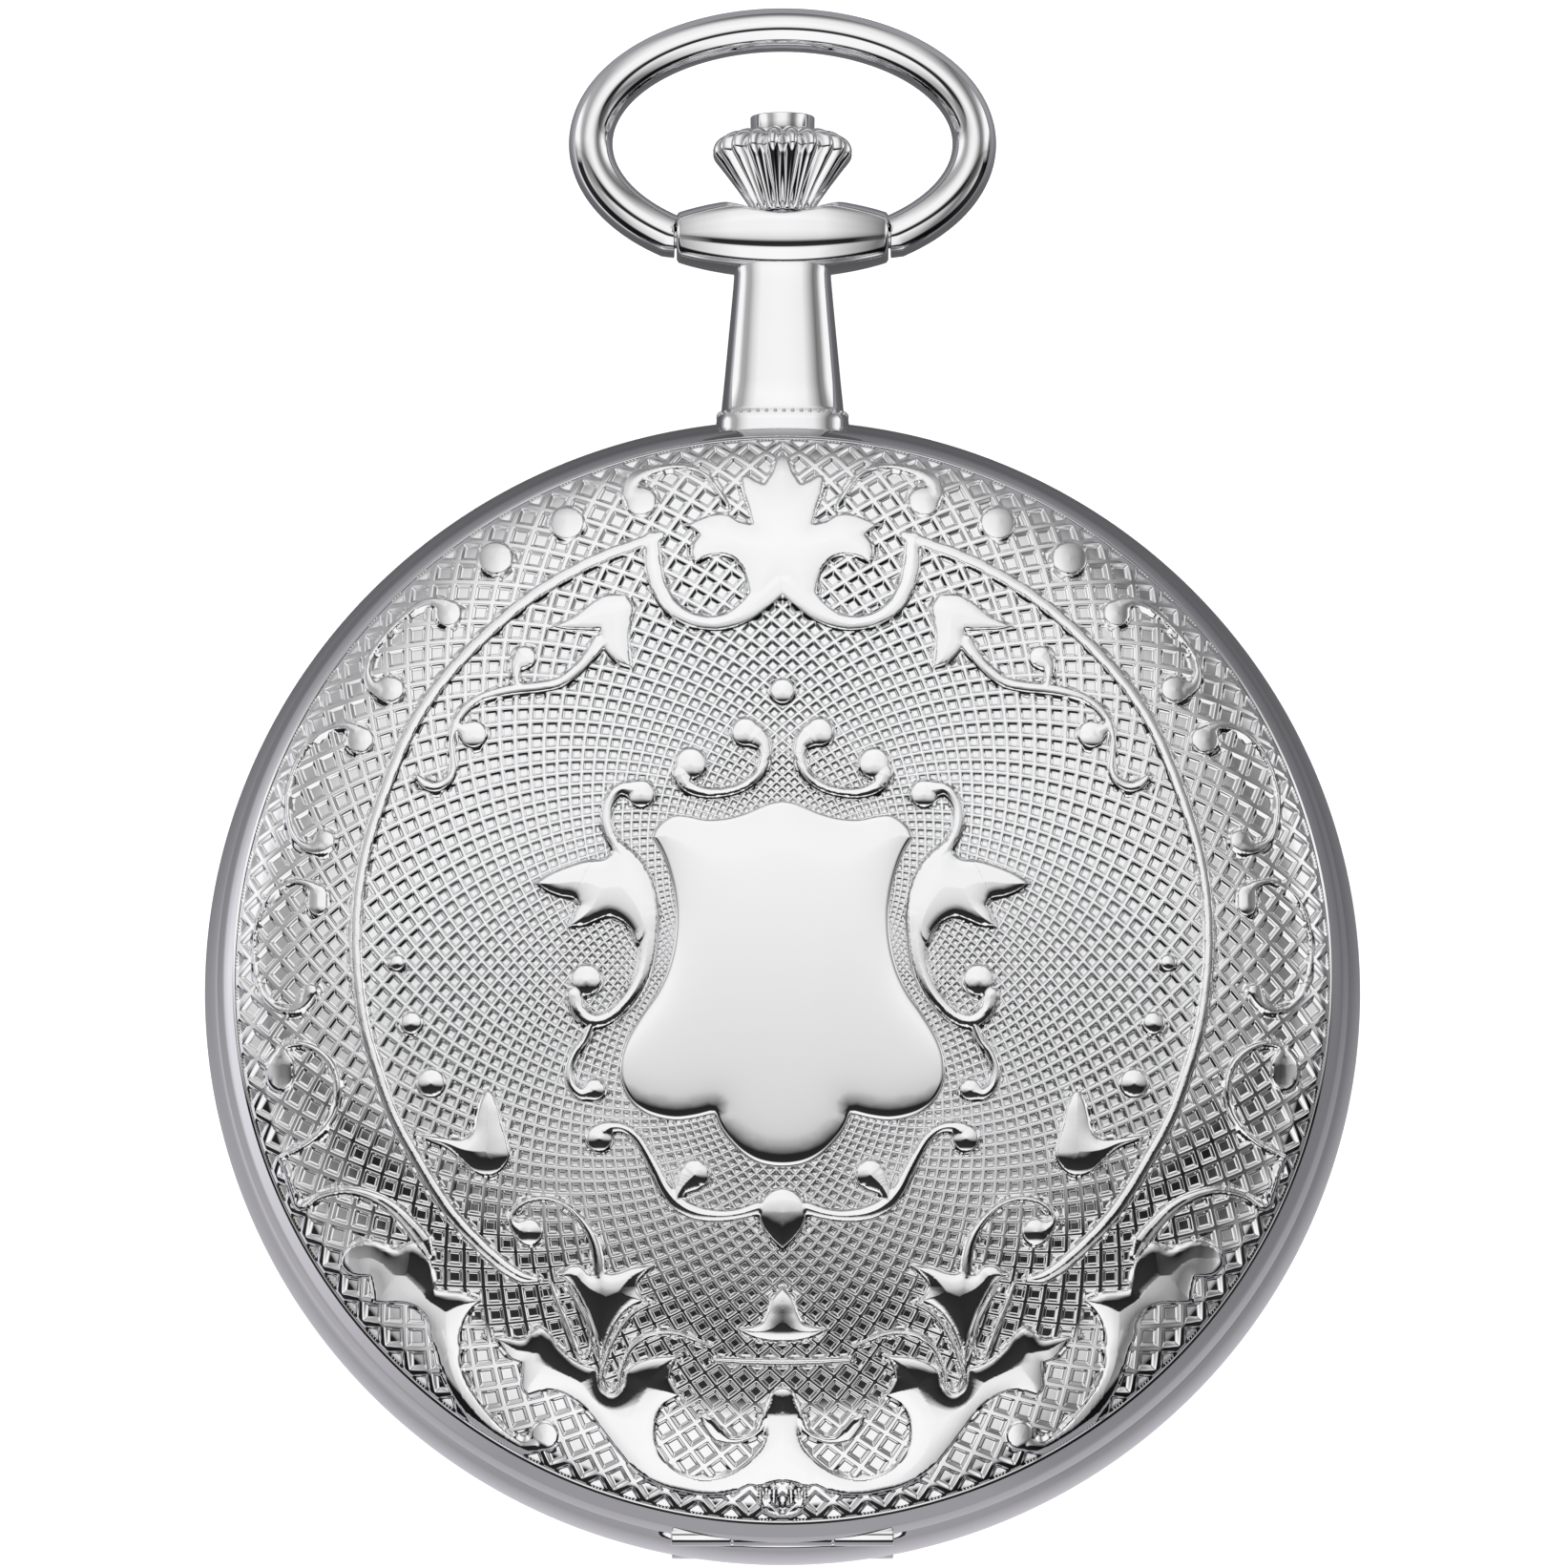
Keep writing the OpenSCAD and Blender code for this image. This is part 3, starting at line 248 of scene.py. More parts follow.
# Outlines of the raised ornament on the +X side. The other side is its mirror image.
# A third value of 1 marks a sharp corner.
LEAVES = [
    # palmette at 12 o'clock
    mirrored([(0, 21.65, 1), (0.3, 21.1), (0.5, 20.55), (0.74, 20.15, 1), (1.05, 20.3),
              (1.35, 20.5), (1.68, 20.48, 1), (1.72, 20.1), (1.6, 19.5), (1.42, 18.95),
              (1.28, 18.42, 1), (1.75, 18.55), (2.2, 18.8), (2.7, 18.85), (3.2, 18.7),
              (3.95, 18.35, 1), (3.45, 17.95, 1), (3.7, 17.55), (3.76, 17.1), (3.58, 16.65, 1),
              (3.1, 16.92), (2.6, 17.02), (2.1, 16.9), (1.7, 16.5), (1.5, 16.0), (1.4, 15.5),
              (0.9, 15.15), (0, 15.9, 1)]),
    # tulip at the head of the upper sprig
    [(6.05, 12.3, 1), (6.12, 13.0), (6.16, 13.8), (6.05, 14.4), (5.98, 14.9), (6.3, 15.45, 1),
     (6.8, 15.5), (7.3, 15.42), (7.8, 15.1), (8.3, 14.7), (8.8, 14.4), (9.45, 14.12, 1),
     (8.8, 13.97), (8.1, 13.93), (7.45, 13.9, 1), (7.5, 13.5), (7.7, 13.1), (7.6, 12.8),
     (7.25, 13.1, 1), (6.95, 12.75), (6.6, 12.45)],
    # side leaf beside the shield
    [(10.05, 3.55, 1), (9.4, 3.95), (8.8, 4.2), (8.0, 4.45), (7.2, 4.55), (6.8, 4.9), (6.2, 4.9),
     (5.65, 4.4), (5.3, 3.8), (5.12, 3.2), (5.02, 2.5), (5.05, 1.7), (5.3, 1.2), (5.85, 1.0),
     (6.1, 1.5), (6.5, 1.9), (7.0, 2.1), (7.5, 1.95), (8.0, 1.75), (8.7, 1.7, 1), (8.5, 2.2),
     (8.3, 2.6, 1), (8.5, 2.85), (9.0, 2.95), (9.6, 3.2)],
    # comma leaf
    [(11.85, -4.9), (12.2, -5.2), (12.4, -5.9), (12.55, -6.5), (12.9, -6.85), (13.6, -6.8),
     (14.9, -6.6, 1), (14.3, -7.0), (13.6, -7.3), (13.0, -7.8), (12.4, -8.3), (11.8, -8.4),
     (11.3, -8.15), (11.0, -7.6), (11.1, -6.9), (11.3, -6.2), (11.5, -5.4)],
    # drop under the garland
    mirrored([(0, -8.9), (0.5, -9.05), (0.85, -9.4), (1.0, -9.9), (0.85, -10.5), (0.5, -11.0),
              (0, -11.5, 1)]),
    # flame over the lower band
    mirrored([(0, -12.9, 1), (0.45, -13.4), (0.68, -14.0), (0.95, -14.4), (1.95, -14.6, 1),
              (1.3, -14.95), (0.6, -15.12), (0, -15.15)]),
    # three-lobed leaf between the two horns
    [(9.05, -12.4, 1), (8.6, -12.05), (8.1, -12.05), (7.7, -12.4), (7.35, -12.2), (7.0, -12.35),
     (6.6, -12.3), (6.0, -12.1), (5.1, -12.0, 1), (5.5, -12.4), (5.85, -12.9), (5.55, -13.5, 1),
     (6.1, -13.75), (6.6, -14.25), (7.0, -15.0), (7.35, -16.2, 1), (7.55, -15.2), (7.75, -14.4),
     (8.1, -13.6), (8.5, -12.9)],
    # outer leaf of the lower band, with its fold down the case side
    [(17.85, -11.75), (17.6, -11.2), (17.1, -10.92), (16.5, -10.9), (16.0, -11.1), (15.6, -11.25),
     (15.2, -11.05), (14.9, -11.0), (14.5, -11.3), (14.2, -11.8), (14.05, -12.4),
     (13.95, -12.92, 1), (13.5, -13.0), (13.0, -13.05), (12.6, -13.2), (12.1, -13.4, 1),
     (12.5, -13.75), (12.8, -14.2), (12.98, -14.9), (13.0, -15.6), (13.8, -16.0), (14.0, -15.3),
     (14.2, -14.6), (14.45, -14.0), (14.85, -13.62), (15.4, -13.45), (16.0, -13.45),
     (16.55, -13.4, 1), (16.6, -12.9), (16.7, -12.35, 1), (17.3, -12.3), (17.65, -12.1)],
    # lower band, from the middle out to its second leaf
    mirrored([(0, -16.95), (0.42, -17.1), (0.6, -17.5), (0.78, -18.0), (0.72, -18.6),
              (0.8, -19.1), (1.15, -19.6), (1.7, -20.08), (2.4, -20.4), (3.2, -20.5),
              (4.0, -20.3), (4.6, -19.9), (5.0, -19.3), (5.1, -18.6), (4.95, -17.95),
              (4.6, -17.55), (4.05, -17.3, 1), (4.3, -16.95), (4.5, -16.6, 1), (4.42, -16.15),
              (4.15, -15.68, 1), (4.7, -15.68), (5.3, -15.75), (5.9, -15.95), (6.35, -16.3),
              (6.5, -16.9), (6.9, -17.2), (7.3, -16.9), (7.45, -16.15, 1), (8.0, -16.0),
              (8.5, -15.7), (9.0, -15.2), (9.35, -14.75), (9.75, -14.47), (10.15, -14.65),
              (10.5, -14.95), (11.2, -14.85), (12.05, -14.9, 1), (11.6, -15.0), (11.35, -15.35),
              (11.0, -15.75), (10.6, -15.92, 1), (10.55, -16.4), (10.55, -16.9),
              (10.3, -17.25, 1), (9.5, -17.05), (8.9, -17.15), (8.35, -17.48), (7.8, -18.0),
              (7.3, -18.65), (6.8, -19.3), (6.3, -19.9), (5.8, -20.35), (5.0, -20.8),
              (4.2, -21.05), (3.3, -21.2), (2.5, -21.2), (1.8, -21.05), (1.32, -20.85, 1),
              (0.95, -20.9), (0, -20.7)]),
]
SHIELD = mirrored([(0, 6.95, 1), (0.5, 6.85), (1.0, 6.65), (1.6, 6.4), (2.3, 6.22), (3.1, 6.18),
                   (3.8, 6.32), (4.35, 6.35), (4.85, 6.1), (5.2, 5.75), (5.35, 5.4, 1),
                   (5.0, 4.85), (4.72, 4.2), (4.5, 3.4), (4.38, 2.6), (4.36, 2.0), (4.4, 1.3),
                   (4.52, 0.6), (4.76, -0.2), (5.15, -1.0), (5.7, -1.8), (6.2, -2.6), (6.5, -3.3),
                   (6.62, -4.0), (6.55, -4.7), (6.3, -5.25), (5.9, -5.7), (5.3, -6.03),
                   (4.4, -6.22), (3.6, -6.15), (2.78, -5.95, 1), (2.58, -6.45), (2.2, -7.0),
                   (1.6, -7.6), (0.9, -7.97), (0, -8.1)])

# Raised lines: points of (x, y, half width). Balls are single points.
LINES = [
    # curl under the palmette, running into the oval frame
    [(5.3, 17.78, .34), (5.28, 17.2, .38), (5.22, 16.5, .40), (5.02, 15.75, .38),
     (4.6, 15.0, .36), (3.9, 14.45, .34), (3.0, 14.22, .33), (2.2, 14.32, .37), (1.5, 14.7, .46),
     (0.9, 15.25, .55), (0.2, 15.9, .6)],
    # oval frame
    [(4.95, 17.9, .24), (6.0, 17.52, .27), (7.0, 17.15, .28), (8.0, 16.7, .28), (9.0, 16.15, .28),
     (10.0, 15.52, .28), (11.0, 14.75, .28), (12.1, 13.75, .28), (13.1, 12.72, .28),
     (14.1, 11.5, .28), (14.9, 10.25, .28), (15.5, 9.0, .28), (16.25, 7.0, .28),
     (16.85, 5.0, .27), (17.18, 3.0, .26), (17.25, 1.0, .26), (17.15, -0.5, .26),
     (16.9, -2.2, .26), (16.4, -4.0, .27), (15.68, -6.0, .28), (14.6, -8.0, .29),
     (14.0, -9.0, .3), (13.3, -10.0, .3), (12.4, -11.0, .3), (11.3, -12.0, .3),
     (10.5, -12.5, .26), (9.9, -12.6, .15)],
    # C-scrolls round the edge
    [(6.2, 19.7, .38), (6.12, 20.2, .36), (5.65, 20.6, .28), (5.0, 20.82, .2), (4.3, 20.9, .15),
     (3.6, 20.78, .14), (3.05, 20.42, .14), (2.7, 19.95, .15), (2.45, 19.55, .15),
     (2.25, 19.25, .1)], [(5.75, 19.4, .7)],
    [(13.75, 15.1, .35), (14.25, 15.28, .22), (14.85, 15.1, .19), (15.5, 14.6, .17),
     (16.2, 13.85, .16), (16.7, 13.1, .16), (16.86, 12.4, .18), (16.7, 11.85, .27),
     (16.3, 11.6, .4)], [(13.55, 14.75, .6)], [(15.9, 11.6, .62)],
    [(17.3, 9.95, .3), (17.75, 10.17, .2), (18.35, 10.1, .17), (19.0, 9.7, .16), (19.6, 8.9, .15),
     (20.0, 7.8, .14), (20.08, 6.8, .14), (19.95, 5.95, .15), (19.6, 5.35, .18), (19.1, 5.1, .26),
     (18.7, 5.2, .4)],
    [(17.13, 9.52, .62)], [(18.55, 5.38, .5)],
    [(18.85, 3.35, .3), (19.3, 3.68, .17), (19.9, 3.75, .13), (20.6, 3.4, .12), (21.12, 2.6, .12),
     (21.38, 1.6, .12), (21.38, 0.5, .12), (21.12, -0.6, .13), (20.6, -1.28, .15),
     (19.9, -1.53, .19), (19.35, -1.3, .26), (19.1, -0.8, .36)],
    [(18.8, 3.15, .45), (18.8, 2.7, .45)],
    [(20.3, -3.35, .35), (20.15, -3.0, .16), (19.6, -2.88, .15), (18.85, -3.15, .16),
     (18.22, -3.8, .17), (17.97, -4.7, .18), (18.1, -5.6, .17), (18.5, -6.3, .16),
     (19.2, -6.9, .15), (19.9, -7.25, .14), (20.3, -7.45, .12)],
    [(20.3, -3.75, .6), (20.3, -4.2, .6)],
    [(20.25, -7.45, .14), (20.0, -8.2, .15), (19.78, -8.9, .16), (19.5, -9.45, .16),
     (18.7, -9.05, .17), (17.7, -8.88, .18), (16.7, -9.1, .21), (15.75, -9.62, .27),
     (15.02, -10.35, .32), (14.5, -11.0, .34), (14.2, -11.6, .15)],
    # dots
    [(8.75, 18.5, .76)], [(11.65, 17.05, .77)], [(0, 11.4, .56)],
    [(15.6, 0.32, .38)], [(15.0, -2.15, .5)], [(14.2, -4.6, .62)],
    # upper sprig: stem, bud and balls
    [(7.45, 13.5, .3), (7.85, 12.85, .28), (8.4, 12.25, .26), (9.0, 11.8, .26), (9.8, 11.62, .27),
     (10.6, 11.55, .27), (11.4, 11.42, .25), (12.2, 11.18, .22), (12.8, 10.78, .22),
     (13.22, 10.2, .22), (13.4, 9.5, .17), (13.36, 8.8, .17), (13.34, 8.25, .2),
     (13.55, 7.78, .22), (14.0, 7.52, .25), (14.45, 7.62, .25), (14.8, 7.95, .15)],
    [(10.45, 12.85, .52), (10.78, 12.5, .32), (10.78, 12.0, .2), (10.7, 11.6, .2)],
    [(13.1, 9.95, .25), (12.8, 9.8, .45)], [(12.52, 9.68, .6)],
    # scrolls over the shield
    [(4.1, 8.0, .42), (3.85, 7.5, .3), (3.2, 7.22, .25), (2.4, 7.22, .22), (1.6, 7.45, .22),
     (1.0, 7.95, .23), (0.72, 8.6, .27), (0.78, 9.2, .34), (1.1, 9.55, .5)], [(3.72, 8.42, .68)],
     [(1.5, 9.72, .62)],
    # scroll down the side of the shield
    [(6.05, 7.35, .4), (6.6, 7.35, .26), (7.02, 6.85, .25), (7.13, 6.2, .25), (7.0, 5.6, .25),
     (6.75, 5.1, .28), (6.4, 4.6, .4), (6.0, 4.0, .5)], [(5.72, 7.18, .6)],
    [(5.5, 2.2, .45), (5.45, 1.2, .4), (5.55, 0.2, .33), (5.9, -0.75, .31), (6.45, -1.5, .3),
     (7.1, -2.02, .3), (7.75, -2.1, .32), (8.25, -1.65, .32), (8.4, -1.05, .36)],
     [(7.93, -0.45, .68)],
    [(7.75, -2.3, .2), (8.0, -2.9, .2), (8.4, -3.45, .22), (8.62, -4.1, .22), (8.52, -4.7, .22),
     (8.15, -5.08, .26), (7.75, -5.0, .35)], [(7.58, -4.92, .48)],
    # garland under the shield
    [(7.2, -6.6, .4), (6.9, -6.45, .26), (6.4, -6.5, .22), (5.9, -6.85, .22), (5.5, -7.45, .24),
     (5.1, -8.2, .26), (4.72, -8.95, .3), (4.2, -9.55, .34), (3.5, -9.92, .32),
     (2.6, -10.05, .27), (1.8, -9.98, .25), (1.0, -9.75, .3)],
    [(7.4, -6.9, .58)], [(3.55, -8.38, .66), (4.05, -8.9, .34), (4.3, -9.4, .25)],
    # curl over the three-lobed leaf
    [(10.6, -10.6, .35), (10.9, -10.3, .2), (10.88, -9.85, .14), (10.4, -9.45, .12),
     (9.7, -9.3, .11), (9.0, -9.48, .13), (8.4, -9.9, .16), (7.9, -10.5, .2), (7.6, -11.1, .24),
     (7.45, -11.8, .27), (7.4, -12.5, .3)], [(10.22, -10.68, .58)],
    # rims of the two horns
    [(9.35, -12.75, .1), (9.05, -13.6, .13), (8.7, -14.4, .13), (8.38, -15.2, .12),
     (8.05, -15.75, .1), (7.78, -15.5, .1), (7.72, -15.0, .1), (7.9, -14.3, .1), (8.3, -13.5, .1),
     (8.7, -12.85, .1)],
    [(5.4, -13.6, .1), (6.0, -13.95, .1), (6.5, -14.5, .1), (6.9, -15.2, .1), (7.2, -16.0, .1),
     (7.3, -16.7, .1), (7.02, -17.1, .12), (6.68, -16.9, .1), (6.5, -16.2, .1), (6.2, -15.5, .1),
     (5.6, -14.95, .13), (4.9, -14.75, .14), (4.2, -14.8, .12), (3.4, -15.1, .1),
     (2.9, -15.3, .06)],
    # lobe that curls back from the outer leaf
    [(13.7, -14.6, .6), (13.5, -15.4, .5), (13.35, -16.1, .44), (13.0, -16.9, .42),
     (12.45, -17.7, .4), (11.8, -18.4, .37), (11.1, -18.92, .3), (10.5, -19.17, .25),
     (9.95, -19.1, .33)], [(9.6, -18.78, .6)],
    # small pieces inside the lower band
    [(0.7, -18.2, .22), (0.95, -18.68, .16), (1.45, -18.98, .14), (2.1, -19.05, .17),
     (2.6, -18.8, .33), (2.95, -18.4, .3), (3.25, -18.1, .1)],
    [(2.7, -15.85, .13), (1.3, -15.92, .15), (-0.3, -15.95, .16)],
    # ring at 6 o'clock
    [(0.9, -21.05, .1), (0.88, -21.45, .09), (0.6, -21.85, .09), (-0.2, -22.0, .09)],
    [(0.35, -21.0, .16), (0.35, -21.5, .14)],
]


def line_distance(x, y, pts):
    """Depth inside a raised line, positive inside, at the points x, y."""
    pts = np.array(pts, float)
    if len(pts) == 1:
        return pts[0, 2] - np.hypot(x - pts[0, 0], y - pts[0, 1])
    if len(pts) > 2:
        fine = catmull(pts[:, :2], steps=5)
        w = np.interp(np.linspace(0, len(pts) - 1, len(fine)), np.arange(len(pts)), pts[:, 2])
    else:
        fine, w = pts[:, :2], pts[:, 2]
    best = np.full(x.shape, -9.0, np.float32)
    for (ax, ay), (bx, by), wa, wb in zip(fine[:-1], fine[1:], w[:-1], w[1:]):
        near = (x > min(ax, bx) - 1) & (x < max(ax, bx) + 1) & (y > min(ay, by) - 1) & (y < max(ay, by) + 1)
        if not near.any():
            continue
        dx, dy = bx - ax, by - ay
        px, py = x[near] - ax, y[near] - ay
        t = np.clip((px * dx + py * dy) / (dx * dx + dy * dy), 0, 1)
        d = wa + (wb - wa) * t - np.hypot(px - t * dx, py - t * dy)
        best[near] = np.maximum(best[near], d)
    return best


def shape_distance(x, y, outline):
    """Depth inside a closed outline, positive inside."""
    best = np.full(x.shape, 9.0, np.float32)
    inside = np.zeros(x.shape, bool)
    nxt = np.roll(outline, -1, 0)
    for (ax, ay), (bx, by) in zip(outline, nxt):
        dx, dy = bx - ax, by - ay
        size = dx * dx + dy * dy
        if size < 1e-12:
            continue
        px, py = x - ax, y - ay
        t = np.clip((px * dx + py * dy) / size, 0, 1)
        best = np.minimum(best, np.hypot(px - t * dx, py - t * dy))
        if ay != by:
            inside ^= ((ay > y) != (by > y)) & (x < ax + (y - ay) * dx / dy)
    return np.where(inside, best, -best)


def smooth_max(a, b, k):
    h = np.maximum(k - np.abs(a - b), 0) / k
    return np.maximum(a, b) + h * h * k / 4


def ornament_depth(x, y):
    """Depth inside the union of all ornament, positive inside."""
    x = np.abs(x)
    depth = np.full(x.shape, -9.0, np.float32)
    for kind, shapes in (("leaf", LEAVES), ("line", LINES)):
        for s in shapes:
            if kind == "leaf":
                outline = catmull(s, closed=True)
                lo, hi = outline.min(0) - 0.5, outline.max(0) + 0.5
            else:
                p = np.array(s, float)
                m = p[:, 2].max() + 0.5
                lo, hi = p[:, :2].min(0) - m, p[:, :2].max(0) + m
            near = (x > lo[0]) & (x < hi[0]) & (y > lo[1]) & (y < hi[1])
            if near.any():
                d = (shape_distance(x[near], y[near], outline) if kind == "leaf"
                     else line_distance(x[near], y[near], s))
                depth[near] = smooth_max(depth[near], d, 0.12)
    return depth


def ramp(t, soft=0.12):
    """Rises from 0 to 1 on a straight slope with slightly rounded ends."""
    t = np.clip(t, 0, 1)
    low, high = np.clip(t / soft, 0, 1), np.clip((1 - t) / soft, 0, 1)
    end = np.where(t > 1 - soft, 1 - soft - high * high * soft / 2, t - soft / 2)
    return np.where(t < soft, low * low * soft / 2, end) / (1 - soft)


# the ornament's wall: how far its foot lies outside the outline, its height and its width
FOOT, WALL_HEIGHT, WALL_WIDTH = 0.09, 0.15, 0.19


def relief(depth):
    """Height of the ornament over the floor of the cells, from its depth inside the outline."""
    d = np.maximum(depth + FOOT, 0)
    wall = WALL_HEIGHT * ramp(d / WALL_WIDTH)
    swell, slow_swell = 0.07 * (1 - np.exp(-d / 0.3)), 0.035 * (1 - np.exp(-d / 0.7))
    return np.where(d > 0, wall + swell + slow_swell, -1)


WAVES, TWIST = 100, 110         # how many spirals of each family there are, and how steep they run
# the cells: half the width of a ridge, a wall's width at the middle and at the rim, all in
# pitches, and a wall's slope
RIDGE, WALL, RIM_WALL, WALL_SLOPE = 0.09, 0.2, 0.15, 0.91
INNER_FIELD_R = 9.0             # inside this the mesh is always the coarse one
# where the mesh has its lines across one pitch
FINE = [0, .045, .09, .12, .17, .22, .27, .3, .4, .5, .6, .7, .73, .78, .83, .88, .91, .955]
COARSE = [0, .085, .12, .19, .265, .305, .5, .695, .735, .81, .88, .915]


def field_point(u, v):
    """A point of the embossed field, from the phases of its two families of spirals."""
    theta, r = (u + v) / (2 * WAVES), np.exp((u - v) / (2 * TWIST)) * FIELD_R
    x, y = r * np.sin(theta), r * np.cos(theta)
    t = np.minimum(*[np.abs((p / (2 * np.pi) + 0.5) % 1 - 0.5) for p in (u, v)])
    pitch = 2 * np.pi * r / math.hypot(WAVES, TWIST)
    wall = WALL + (RIM_WALL - WALL) * np.clip((r - 14) / 6, 0, 1)
    depth = WALL_SLOPE * wall * pitch
    h = np.maximum(-depth * ramp((t - RIDGE) / wall), relief(ornament_depth(x, y)) - depth)
    h = h * ramp((FIELD_R - r) / 0.3, 0.4)
    slope = dome_slope(r)
    n = np.sqrt(1 + slope ** 2)
    r2 = r - h * slope / n
    return np.stack([x * r2 / r, y * r2 / r, dome_z(r) + h / n], -1)


def field(name, r_in, r_out, parts, nodes):
    """The embossed skin between two radii, as a mesh whose edges run along the spirals."""
    per = len(nodes)
    nodes = np.array(nodes)
    phase = lambda i: (np.floor_divide(i, per) + nodes[np.mod(i, per)]) * 2 * np.pi
    cols = WAVES * per
    k0 = int(round(math.log(r_in / FIELD_R) * TWIST / np.pi)) * per
    k1 = int(round(math.log(r_out / FIELD_R) * TWIST / np.pi)) * per
    ks = np.arange(k0 - 2, k1 + 3)
    odd = ks[1:-1, None] % 2
    for part in range(parts):
        c0, c1 = cols * part // parts, cols * (part + 1) // parts
        ms = np.arange(c0 - 1, c1 + 2)
        k, m = np.meshgrid(ks, ms, indexing="ij")
        m = 2 * m + (k % 2)
        pts = field_point(phase((m + k) // 2), phase((m - k) // 2))
        # normals from the next points along both spirals, so that neighbouring pieces shade as one surface
        i, j = np.arange(1, len(ks) - 1)[:, None], np.arange(1, len(ms) - 1)[None, :]
        one = pts[i + 1, j + odd] - pts[i - 1, j - 1 + odd]
        other = pts[i - 1, j + odd] - pts[i + 1, j - 1 + odd]
        normal = np.cross(one, other)
        normal *= np.sign(normal[..., 2:]) / np.maximum(np.linalg.norm(normal, axis=-1, keepdims=True), 1e-12)
        top = len(ks) - 1 if k1 < 0 else len(ks) - 2
        pts, normal = pts[2:top, 1:-1], normal[1:top - 1]
        rows, n = pts.shape[:2]
        faces = []
        for i in range(1, rows - 1):
            # a diamond: two neighbours on this ring, and the point between them on the rings either side
            j = np.arange(n - 1)
            side = j if ks[i + 2] % 2 == 0 else j + 1
            faces.append(np.stack([i * n + j, (i - 1) * n + side, i * n + j + 1, (i + 1) * n + side], -1))
        faces = np.concatenate(faces)
        add_mesh(f"{name}_{part + 1}", pts.reshape(-1, 3), faces.tolist(), "front_cover", embossed,
                 slot="case_metal", sharp=0, normals=normal.reshape(-1, 3))


def build_front_cover():
    shell = rounded([(FIELD_R - 0.3, dome_z(FIELD_R - 0.3) - 0.25), (FIELD_R - 0.02, FIELD_Z - 0.1, 0),
                     (FIELD_R + 0.02, FIELD_Z + 0.03, .04), (22.3, 8.74, .06), (22.72, 8.16, .16),
                     (LID_R, 7.45, .06), (LID_R, BAND_TOP + SEAM, .03),
                     (LID_R - 0.62, BAND_TOP + SEAM, .05), (LID_R - COVER_LIP, 7.9, .2),
                     (21.9, 8.45, .2)], 0.1)
    r = np.array([21.3, 20.0, 18.0, 15.0, 11.0, 7.0, 3.5, 0.02])
    under = np.stack([r, dome_z(r) - 0.5], -1)
    top = np.stack([r[::-1], dome_z(r[::-1]) - 0.3], -1)
    lathe("lid_rim", np.concatenate([shell, under[:1], top[-1:]]), "front_cover", chrome,
          replaces=["front_cover"], slot="case_metal")
    lathe("lid_back", np.concatenate([under, top]), "front_cover", inside, slot="case_metal")
    # in parts of fewer than 200,000 triangles each, from 4 mm out, where the shield hides the middle
    field("lid_field", INNER_FIELD_R, FIELD_R, 12, FINE)
    field("lid_inner_field", 4.0, INNER_FIELD_R, 6, COARSE)
    outline = catmull(SHIELD, closed=True, steps=8)
    build_plate("lid_shield", outline, "front_cover", chrome, "case_metal")


def build_plate(name, outline, body, mat, slot):
    """A raised plate on the dome with a narrow rounded edge."""
    outline = outline[np.linalg.norm(outline - np.roll(outline, 1, 0), axis=1) > 1e-4]
    t = np.roll(outline, -1, 0) - np.roll(outline, 1, 0)
    area = np.sum(outline[:, 0] * np.roll(outline[:, 1], -1) - np.roll(outline[:, 0], -1) * outline[:, 1])
    normal = np.stack([-t[:, 1], t[:, 0]], -1) / np.linalg.norm(t, axis=1)[:, None] * (1 if area > 0 else -1)
    pts = [outline]
    for inset in (0.05, 0.1, 0.16, 0.25, 0.4, 0.6):
        q = outline + normal * inset
        pts.append(q[shape_distance(q[:, 0], q[:, 1], outline) > inset * 0.93])
    g = np.arange(-9, 9.01, 0.3)
    gx, gy = [a.ravel() for a in np.meshgrid(g, g)]
    keep = shape_distance(gx, gy, outline) > 0.75
    pts.append(np.stack([gx[keep], gy[keep]], -1))
    p = np.concatenate(pts)
    n = len(outline)
    edges = [(i, (i + 1) % n) for i in range(n)]
    v, _, f, _, _, _ = delaunay_2d_cdt([Vector(q) for q in p], edges, [], 1, 1e-5)
    v = np.array([tuple(q) for q in v])
    r = np.hypot(v[:, 0], v[:, 1])
    d = np.maximum(shape_distance(v[:, 0], v[:, 1], outline), 0)
    edge = 0.2 * np.sqrt(np.maximum(1 - (1 - np.minimum(d / 0.16, 1)) ** 2, 0))
    h = -0.08 + edge + 0.06 * (1 - np.exp(-d / 0.5))
    z = dome_z(r) + h
    add_mesh(name, np.column_stack([v, z]), [tuple(q) for q in f], body, mat, slot=slot, sharp=0)


build_front_cover()


# ---------------------------------------------------------------- case, pendant, crown and bow

def knuckle(bore, x0, x1):
    return rounded([(bore, x0), (KNUCKLE_R, x0, .06), (KNUCKLE_R, x1, .06), (bore, x1)])


